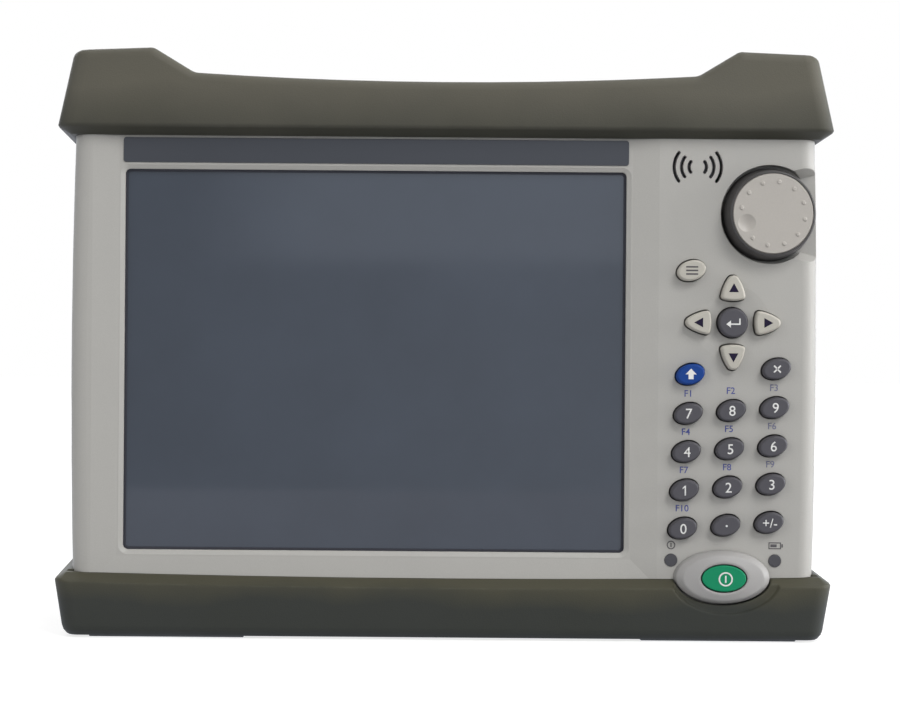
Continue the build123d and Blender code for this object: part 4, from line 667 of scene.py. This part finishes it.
# over the lamps: the power sign again, and a battery with its charge level
sign_high = 5.3 * mm
low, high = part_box("lamp_lenses")
lamp_z = (low.z + high.z) / 2 + sign_high
power_mark = [ring(1.5 * mm, 28), ring(1.15 * mm, 28)]
power_mark_x = low.x + (high.z - low.z) / 2
power_mark_bar = [bar(0.75 * mm, 0.19 * mm, turn=90)]
print_shape("lamp_mark_ring", power_mark, power_mark_x, lamp_z, panel_y, grey_ink, "case")
print_shape("lamp_mark_bar", power_mark_bar, power_mark_x, lamp_z, panel_y, grey_ink, "case")
battery_mark = [
    bar(2.2 * mm, 1.2 * mm),
    bar(1.85 * mm, 0.85 * mm),
    bar(0.25 * mm, 0.6 * mm, 2.6 * mm),
    bar(1.1 * mm, 0.5 * mm, -0.45 * mm),
]
battery_mark_x = high.x - (high.z - low.z) / 2
print_shape("lamp_mark_battery", battery_mark, battery_mark_x, lamp_z, panel_y, grey_ink, "case")
lamp_smoke = moulded(
    "lamp_smoke", paint(50, 48, 50), 0.25, grain=0.5 * mm, depth=0.002 * mm, rub=0.0, dirt_and_shade=0.4
)
dress(lamp_smoke, "lamp_lenses")


# ---------------------------------------------------------------- tuning knob
# A turned-looking moulded grip in dark grey carries a light cap with raised dots and a finger
# dimple. It is pushed onto the shaft of an encoder that is nutted into the well of the case.
grip_dark = moulded(
    "grip_dark", paint(66, 64, 63), 0.48, grain=0.3 * mm, depth=0.01 * mm, rub=0.15, dirt_and_shade=0.3, gloss=0.3
)
dress(grip_dark, "knob_grip")
cap_light = moulded(
    "cap_light", paint(172, 167, 160), 0.42, grain=0.3 * mm, depth=0.008 * mm, drift=0.03, rub=0.15, dirt_and_shade=0.3
)
dress(cap_light, "knob_cap")


# ---------------------------------------------------------------- metal pieces
# Screws, pins, shaft, nut and switch dome are plated steel. The socket plate, the encoder's body
# and the module's shield are satin aluminium, and the speaker is a dark can. The sockets are
# metal shells or black plastic.
brushed, brushed_in, brushed_out = effect(
    "brushed",
    [("Colour", "Color", (0.6, 0.6, 0.6, 1)), ("Line width", "Float", 0.2 * mm)],
    [("Colour", "Color"), ("Height", "Float"), ("Lines", "Float")],
)
place = brushed.nodes.new("ShaderNodeTexCoord").outputs["Object"]
stretch = brushed.nodes.new("ShaderNodeMapping")
stretch.inputs["Scale"].default_value = (0.04, 1.0, 1.0)
brushed.links.new(place, stretch.inputs["Vector"])
lines = grain_noise(brushed, stretch.outputs["Vector"], brushed_in.outputs["Line width"], detail=3.0)
streaked = spread(brushed, lines, 0.3, 0.7, 0.9, 1.06)
brushed.links.new(
    blend_colours(brushed, 1.0, brushed_in.outputs["Colour"], streaked, "MULTIPLY"),
    brushed_out.inputs["Colour"],
)
brushed.links.new(lines, brushed_out.inputs["Height"])
brushed.links.new(lines, brushed_out.inputs["Lines"])


def metal(name, colour, roughness, line_width=0.2 * mm, depth=0.003 * mm, radius=0.15 * mm):
    """A metal finish with fine drawn lines, softened edges, and dirt with painted shade in the corners."""
    finish = bpy.data.materials.new(name)
    finish.use_nodes = True
    tree = finish.node_tree
    surface = tree.nodes["Principled BSDF"]
    surface.inputs["Metallic"].default_value = 1.0
    skin = put_in(tree, brushed, Colour=colour, Line_width=line_width)
    edge = put_in(tree, rubbed_edge, Radius=radius, Rub=0.3)
    corner = put_in(tree, dirt_and_corner_shade, Reach=1.0 * mm, Amount=0.35)
    bright = blend_colours(tree, edge.outputs["Mask"], skin.outputs["Colour"], (0.8, 0.8, 0.8, 1))
    tree.links.new(
        blend_colours(tree, corner.outputs["Mask"], bright, (0.08, 0.075, 0.07, 1)),
        surface.inputs["Base Color"],
    )
    tree.links.new(
        spread(tree, skin.outputs["Lines"], 0.3, 0.7, roughness - 0.05, roughness + 0.06),
        surface.inputs["Roughness"],
    )
    bump = tree.nodes.new("ShaderNodeBump")
    bump.inputs["Distance"].default_value = depth
    tree.links.new(skin.outputs["Height"], bump.inputs["Height"])
    tree.links.new(edge.outputs["Normal"], bump.inputs["Normal"])
    tree.links.new(bump.outputs["Normal"], surface.inputs["Normal"])
    return finish


plated_steel = metal("plated_steel", (0.46, 0.46, 0.47, 1), 0.3)
dress(plated_steel, "bail_pins", "case_screws", "port_screws")
dress(plated_steel, "encoder_shaft", "encoder_nut", "power_switch")
satin_aluminium = metal("satin_aluminium", (0.36, 0.365, 0.37, 1), 0.45, line_width=0.3 * mm)
dress(satin_aluminium, "rf_module", "connector_panel", "encoder_body")
speaker_can = metal("speaker_can", (0.12, 0.12, 0.12, 1), 0.5)
dress(speaker_can, "speaker")
socket_shell = metal("socket_shell", (0.38, 0.38, 0.39, 1), 0.28)
dress(socket_shell, "usb_port", "mini_usb_port")
socket_black = moulded("socket_black", paint(34, 34, 35), 0.35, rub=0.1, dirt_and_shade=0.2)
dress(socket_black, "headset_jack", "supply_jack")


# ---------------------------------------------------------------- coaxial ports
# Plated brass ports with a 5/8-24 thread, a white insulator and a gold contact stand on the
# socket plate, each held by four screws.
port_nickel = metal("port_nickel", (0.43, 0.42, 0.40, 1), 0.22, line_width=0.4 * mm)
contact_gold = metal("contact_gold", (0.80, 0.56, 0.22, 1), 0.2, line_width=0.4 * mm)
port_white = moulded(
    "port_white", paint(226, 223, 214), 0.45, grain=0.3 * mm, depth=0.004 * mm, rub=0.0, dirt_and_shade=0.3
)
dress(port_nickel, "rf_port_left", "rf_port_right")
thread_r = 7.94 * mm
root_r = 7.3 * mm
pitch = 25.4 * mm / 24
thread_low = 4.8 * mm          # heights over the socket plate
port_top = 15.5 * mm
flange_half = 12.5 * mm
flange_top = 1.8 * mm
flange_chamfer = 0.3 * mm
corner_r = 1.8 * mm
neck_r = 7.2 * mm
neck_foot = 0.6 * mm           # slope from the flange to the neck
neck_hidden_r = 5.4 * mm       # inner edge of the foot, inside the neck
neck_relief = 0.2 * mm
lead_in = 0.7 * mm             # slope of the thread's first turn
bore_r = 4.05 * mm
bore_deep = 9.0 * mm
mouth_chamfer = 0.35 * mm
seat = port_top - bore_deep    # bottom of the bore, where the insulator sits
seat_below = 0.6 * mm
insulator_high = 1.2 * mm
contact_r = 1.6 * mm
contact_tip_r = 1.4 * mm
contact_hole_r = 0.85 * mm
contact_hole_deep = 4 * mm
tip = port_top - 0.6 * mm
tip_chamfer = 0.2 * mm


def spun(shell, profile, steps=64):
    """Faces of a profile, points of radius and height, turned about the upright axis."""
    turns = [2 * math.pi * step / steps for step in range(steps)]
    rows = [
        [shell.verts.new((r * math.cos(angle), r * math.sin(angle), z)) for angle in turns]
        for r, z in profile
    ]
    for inner, outer in zip(rows, rows[1:]):
        for step in range(steps):
            after = (step + 1) % steps
            shell.faces.new((inner[step], inner[after], outer[after], outer[step]))


def screw_thread(shell, steps=64):
    """Faces of a helical thread with flat crests and roots and a lead-in at the top."""
    flanks = ((0.0, thread_r), (0.12, thread_r), (0.44, root_r), (0.68, root_r))
    rows = round((port_top - thread_low) / pitch) + 3
    columns = []
    for step in range(steps + 1):
        rise = pitch * step / steps
        angle = 2 * math.pi * step / steps
        column = []
        for row in range(rows * len(flanks)):
            share, r = flanks[row % len(flanks)]
            z = thread_low + (row // len(flanks) - 1 + share) * pitch + rise
            r = min(r, max(root_r, thread_r - (z - port_top + lead_in)))
            if not thread_low < z < port_top:
                z, r = min(max(z, thread_low), port_top), root_r
            column.append(shell.verts.new((r * math.cos(angle), r * math.sin(angle), z)))
        columns.append(column)
    for left, right in zip(columns, columns[1:]):
        for row in range(len(left) - 1):
            shell.faces.new((left[row], right[row], right[row + 1], left[row + 1]))


def square_flange(shell):
    """Faces of a square flange with round corners and a chamfer round its top."""
    across = flange_half - corner_r
    outline = []
    for quarter in range(4):
        for step in range(7):
            angle = math.radians(90 * quarter + 15 * step)
            centre_x = across * (1 if quarter in (0, 3) else -1)
            centre_y = across * (1 if quarter in (0, 1) else -1)
            outline.append((centre_x, centre_y, math.cos(angle), math.sin(angle)))
    rings = []
    for inset, z in ((0.0, 0.0), (0.0, flange_top - flange_chamfer), (flange_chamfer, flange_top)):
        reach = corner_r - inset
        rings.append([shell.verts.new((cx + reach * ux, cy + reach * uy, z)) for cx, cy, ux, uy in outline])
    for lower, upper in zip(rings, rings[1:]):
        for step in range(len(outline)):
            after = (step + 1) % len(outline)
            shell.faces.new((lower[step], lower[after], upper[after], upper[step]))
    shell.faces.new(rings[-1])
    shell.faces.new(rings[0])


def built(name, shell, finish, x, y, z, body, soft_angle=35):
    """A piece made of a finished bmesh: joined, shaded, placed and riding on its body."""
    bmesh.ops.remove_doubles(shell, verts=shell.verts, dist=0.002 * mm)
    bmesh.ops.dissolve_degenerate(shell, edges=shell.edges, dist=0.001 * mm)
    bmesh.ops.recalc_face_normals(shell, faces=shell.faces)
    for face in shell.faces:
        face.smooth = True
    for edge in shell.edges:
        edge.smooth = len(edge.link_faces) == 2 and edge.calc_face_angle() < math.radians(soft_angle)
    mesh = bpy.data.meshes.new(name)
    shell.to_mesh(mesh)
    shell.free()
    mesh.materials.append(finish)
    piece = bpy.data.objects.new(name, mesh)
    bpy.context.scene.collection.objects.link(piece)
    piece.location = (x, y, z)
    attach(piece, body)
    return piece


plate_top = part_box("connector_panel")[1].z
for side in ("left", "right"):
    low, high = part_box(f"rf_port_{side}")
    port_x, port_y = (low.x + high.x) / 2, (low.y + high.y) / 2
    shell = bmesh.new()
    screw_thread(shell)
    spun(
        shell,
        (
            (neck_hidden_r, flange_top),
            (neck_r + neck_foot, flange_top),
            (neck_r, flange_top + neck_foot),
            (neck_r, thread_low - neck_relief),
            (root_r, thread_low),
        ),
    )
    spun(
        shell,
        (
            (root_r, port_top),
            (bore_r + mouth_chamfer, port_top),
            (bore_r, port_top - mouth_chamfer),
            (bore_r, seat),
        ),
    )
    square_flange(shell)
    port = built(f"threaded_port_{side}", shell, port_nickel, port_x, port_y, plate_top, "case")
    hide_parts(f"rf_port_{side}")
    shell = bmesh.new()
    spun(
        shell,
        (
            (contact_r, seat - seat_below),
            (contact_r, seat + insulator_high),
            (bore_r, seat + insulator_high),
            (bore_r, seat - seat_below),
            (contact_r, seat - seat_below),
        ),
    )
    insulator = built(f"insulator_{side}", shell, port_white, port_x, port_y, plate_top, "case")
    shell = bmesh.new()
    spun(
        shell,
        (
            (0.0, seat - seat_below),
            (contact_r, seat - seat_below),
            (contact_r, tip - tip_chamfer),
            (contact_tip_r, tip),
            (contact_hole_r, tip),
            (contact_hole_r, tip - contact_hole_deep),
            (0.0, tip - contact_hole_deep),
        ),
        steps=32,
    )
    contact = built(f"contact_{side}", shell, contact_gold, port_x, port_y, plate_top, "case")


# ---------------------------------------------------------------- boards and membrane
# Green boards carry the electronics; a grey silicone sheet with a dome for each key lies on the
# keypad board.
solder_mask = moulded(
    "solder_mask", paint(24, 84, 48), 0.3, grain=0.8 * mm, depth=0.02 * mm, drift=0.1, rub=0.0, dirt_and_shade=0.2
)
dress(solder_mask, "main_board", "keypad_board")
silicone = moulded("silicone", paint(120, 120, 118), 0.6, rub=0.0, dirt_and_shade=0.3)
dress(silicone, "keypad_membrane")


# ---------------------------------------------------------------- battery, tray, door and fan
# The pack slides into a black tray from the left side, behind a door close to the case's grey.
# The fan behind the right vents is black moulded plastic.
pack_black = moulded("pack_black", paint(44, 44, 46), 0.45, rub=0.3, dirt_and_shade=0.3)
dress(pack_black, "battery", "battery_tray", "fan_frame", "fan_rotor")
door_grey = moulded("door_grey", paint(174, 171, 167), 0.52, drift=0.02, rub=0.3, dirt_and_shade=0.55)
dress(door_grey, "battery_door")


# ---------------------------------------------------------------- bail
# The stand folds into the back. It is one moulding in a darker grey than the case, and turns on
# two steel pins.
bail_grey = moulded("bail_grey", paint(128, 127, 122), 0.5, rub=0.4, radius=0.6 * mm, dirt_and_shade=0.5)
dress(bail_grey, "tilt_bail")


# ---------------------------------------------------------------- floor, lamps and camera
# A white table top whose front edge lies before the object, a plain sky, five soft lamps (key and
# side on the right, fill on the left, one over the object and one behind it), and a camera a
# little left of the middle.
table_near_y = -0.709
table_half = 3.0
table_far_y = 4.0
table_drop = 0.05 * mm         # keeps the top clear of the feet
table_grey = 0.44
glow_reach = (0.35, 1.6)       # distances from the object between which the white backing grows
glow_strength = (0.73, 0.9)
mirrored_white = (1.05, 1.12, 1.35, 1)
table = bpy.data.meshes.new("table_top")
table.from_pydata(
    [
        (-table_half, table_near_y, 0),
        (table_half, table_near_y, 0),
        (table_half, table_far_y, 0),
        (-table_half, table_far_y, 0),
    ],
    [],
    [(0, 1, 2, 3)],
)
table_top = bpy.data.objects.new("table_top", table)
bpy.context.scene.collection.objects.link(table_top)
table_top.location.z = -table_drop
white_top = bpy.data.materials.new("white_top")
white_top.use_nodes = True
top_tree = white_top.node_tree
top_surface = top_tree.nodes["Principled BSDF"]
top_surface.inputs["Base Color"].default_value = (table_grey, table_grey, table_grey, 1)
top_surface.inputs["Roughness"].default_value = 0.9
top_surface.inputs["Specular IOR Level"].default_value = 0.0
ray = top_tree.nodes.new("ShaderNodeLightPath")
seen = math_node(top_tree, "MAXIMUM", ray.outputs["Is Camera Ray"], ray.outputs["Is Glossy Ray"])
seen = math_node(top_tree, "MAXIMUM", seen, ray.outputs["Is Transmission Ray"])
away = top_tree.nodes.new("ShaderNodeVectorMath")
away.operation = "LENGTH"
top_tree.links.new(top_tree.nodes.new("ShaderNodeTexCoord").outputs["Object"], away.inputs[0])
# the white glow is weaker near the object than far off, which paints the table a little darker round it:
# painted shade, which also lets the real shadow there show
backing = spread(top_tree, away.outputs["Value"], *glow_reach, *glow_strength)
backing = math_node(top_tree, "MULTIPLY", seen, backing)
top_tree.links.new(backing, top_surface.inputs["Emission Strength"])
cool = blend_colours(top_tree, ray.outputs["Is Glossy Ray"], (1, 1, 1, 1), mirrored_white)
top_tree.links.new(cool, top_surface.inputs["Emission Color"])
table.materials.append(white_top)

# The camera sees a white sky, the object is lit by a plain one, and glossy pieces mirror a third:
# brighter to the right, brightest in one field over the horizon, and dimmer overhead.
sky_strength = 0.325
mirrored_colour = (0.9, 0.97, 1.1, 1)
mirrored_strength = 0.9
side_ramp = (-0.2, 0.16)       # ramps over the sky's own directions, from -1 to 1
side_gain = 0.6
field_foot = (0.034, 0.04)
field_edge = (-0.09, -0.03)
field_gain = 0.5
overhead_ramp = (0.3, 0.5)
overhead_share = 0.5
studio = bpy.data.worlds.new("studio")
bpy.context.scene.world = studio
studio.use_nodes = True
air = studio.node_tree
air.nodes.clear()
air_out = air.nodes.new("ShaderNodeOutputWorld")
lit = air.nodes.new("ShaderNodeBackground")
lit.inputs["Color"].default_value = (1, 1, 1, 1)
lit.inputs["Strength"].default_value = sky_strength
shown = air.nodes.new("ShaderNodeBackground")
shown.inputs["Color"].default_value = mirrored_colour
ray = air.nodes.new("ShaderNodeLightPath")
compass = air.nodes.new("ShaderNodeSeparateXYZ")
air.links.new(air.nodes.new("ShaderNodeTexCoord").outputs["Generated"], compass.inputs[0])
high = spread(air, compass.outputs["Z"], *field_foot, 0.0, 1.0)
right = spread(air, compass.outputs["X"], *field_edge, 0.0, 1.0)
overhead = spread(air, compass.outputs["Z"], *overhead_ramp, 1.0, overhead_share)
field = math_node(air, "MULTIPLY", high, right)
side = spread(air, compass.outputs["X"], *side_ramp, 0.0, side_gain)
plain = math_node(air, "ADD", side, mirrored_strength)
mirrored = math_node(air, "ADD", plain, math_node(air, "MULTIPLY", field, field_gain))
air.links.new(math_node(air, "MULTIPLY", mirrored, overhead), shown.inputs["Strength"])
bounced = math_node(air, "MAXIMUM", ray.outputs["Is Glossy Ray"], ray.outputs["Is Transmission Ray"])
backdrop = air.nodes.new("ShaderNodeBackground")
backdrop.inputs["Color"].default_value = (1, 1, 1, 1)
around = air.nodes.new("ShaderNodeMixShader")
air.links.new(bounced, around.inputs[0])
air.links.new(lit.outputs[0], around.inputs[1])
air.links.new(shown.outputs[0], around.inputs[2])
choose = air.nodes.new("ShaderNodeMixShader")
air.links.new(ray.outputs["Is Camera Ray"], choose.inputs[0])
air.links.new(around.outputs[0], choose.inputs[1])
air.links.new(backdrop.outputs[0], choose.inputs[2])
air.links.new(choose.outputs[0], air_out.inputs["Surface"])


def lamp(name, spot, aim, size, power):
    """A square soft lamp that looks at a point."""
    light = bpy.data.lights.new(name, "AREA")
    light.size = size
    light.energy = power
    fitting = bpy.data.objects.new(name, light)
    bpy.context.scene.collection.objects.link(fitting)
    fitting.location = spot
    fitting.rotation_euler = (Vector(aim) - Vector(spot)).to_track_quat("-Z", "Y").to_euler()


middle_z = (cad_box[0][2] + cad_box[1][2]) / 2
aim = (0, 0, middle_z)
lamp("key_lamp", spot=(0.95, -1.25, 1.45), aim=aim, size=0.9, power=22)
lamp("side_lamp", spot=(1.6, -0.15, 0.3), aim=aim, size=0.7, power=18)
lamp("fill_lamp", spot=(-1.6, -1.5, 0.9), aim=aim, size=1.4, power=13)
lamp("top_lamp", spot=(0.0, 0.2, 2.0), aim=aim, size=1.6, power=11)
lamp("back_lamp", spot=(-0.8, 2.0, 1.2), aim=aim, size=1.4, power=19)

eye = (-26.2 * mm, -744.5 * mm, 106.8 * mm)
lens_length = 80.2             # mm, on a sensor this wide
sensor_width = 36.0            # mm
roll = -0.45                   # degrees
shift_right = 0.0889
shift_up = -0.0172
camera_data = bpy.data.cameras.new("camera")
camera_data.lens = lens_length
camera_data.sensor_width = sensor_width
camera_data.shift_x = shift_right
camera_data.shift_y = shift_up
camera_data.clip_start = 0.01
camera = bpy.data.objects.new("camera", camera_data)
bpy.context.scene.collection.objects.link(camera)
camera.location = eye
camera.rotation_euler = (math.radians(90), math.radians(roll), 0)
bpy.context.scene.camera = camera
bpy.context.scene.view_settings.view_transform = "Standard"
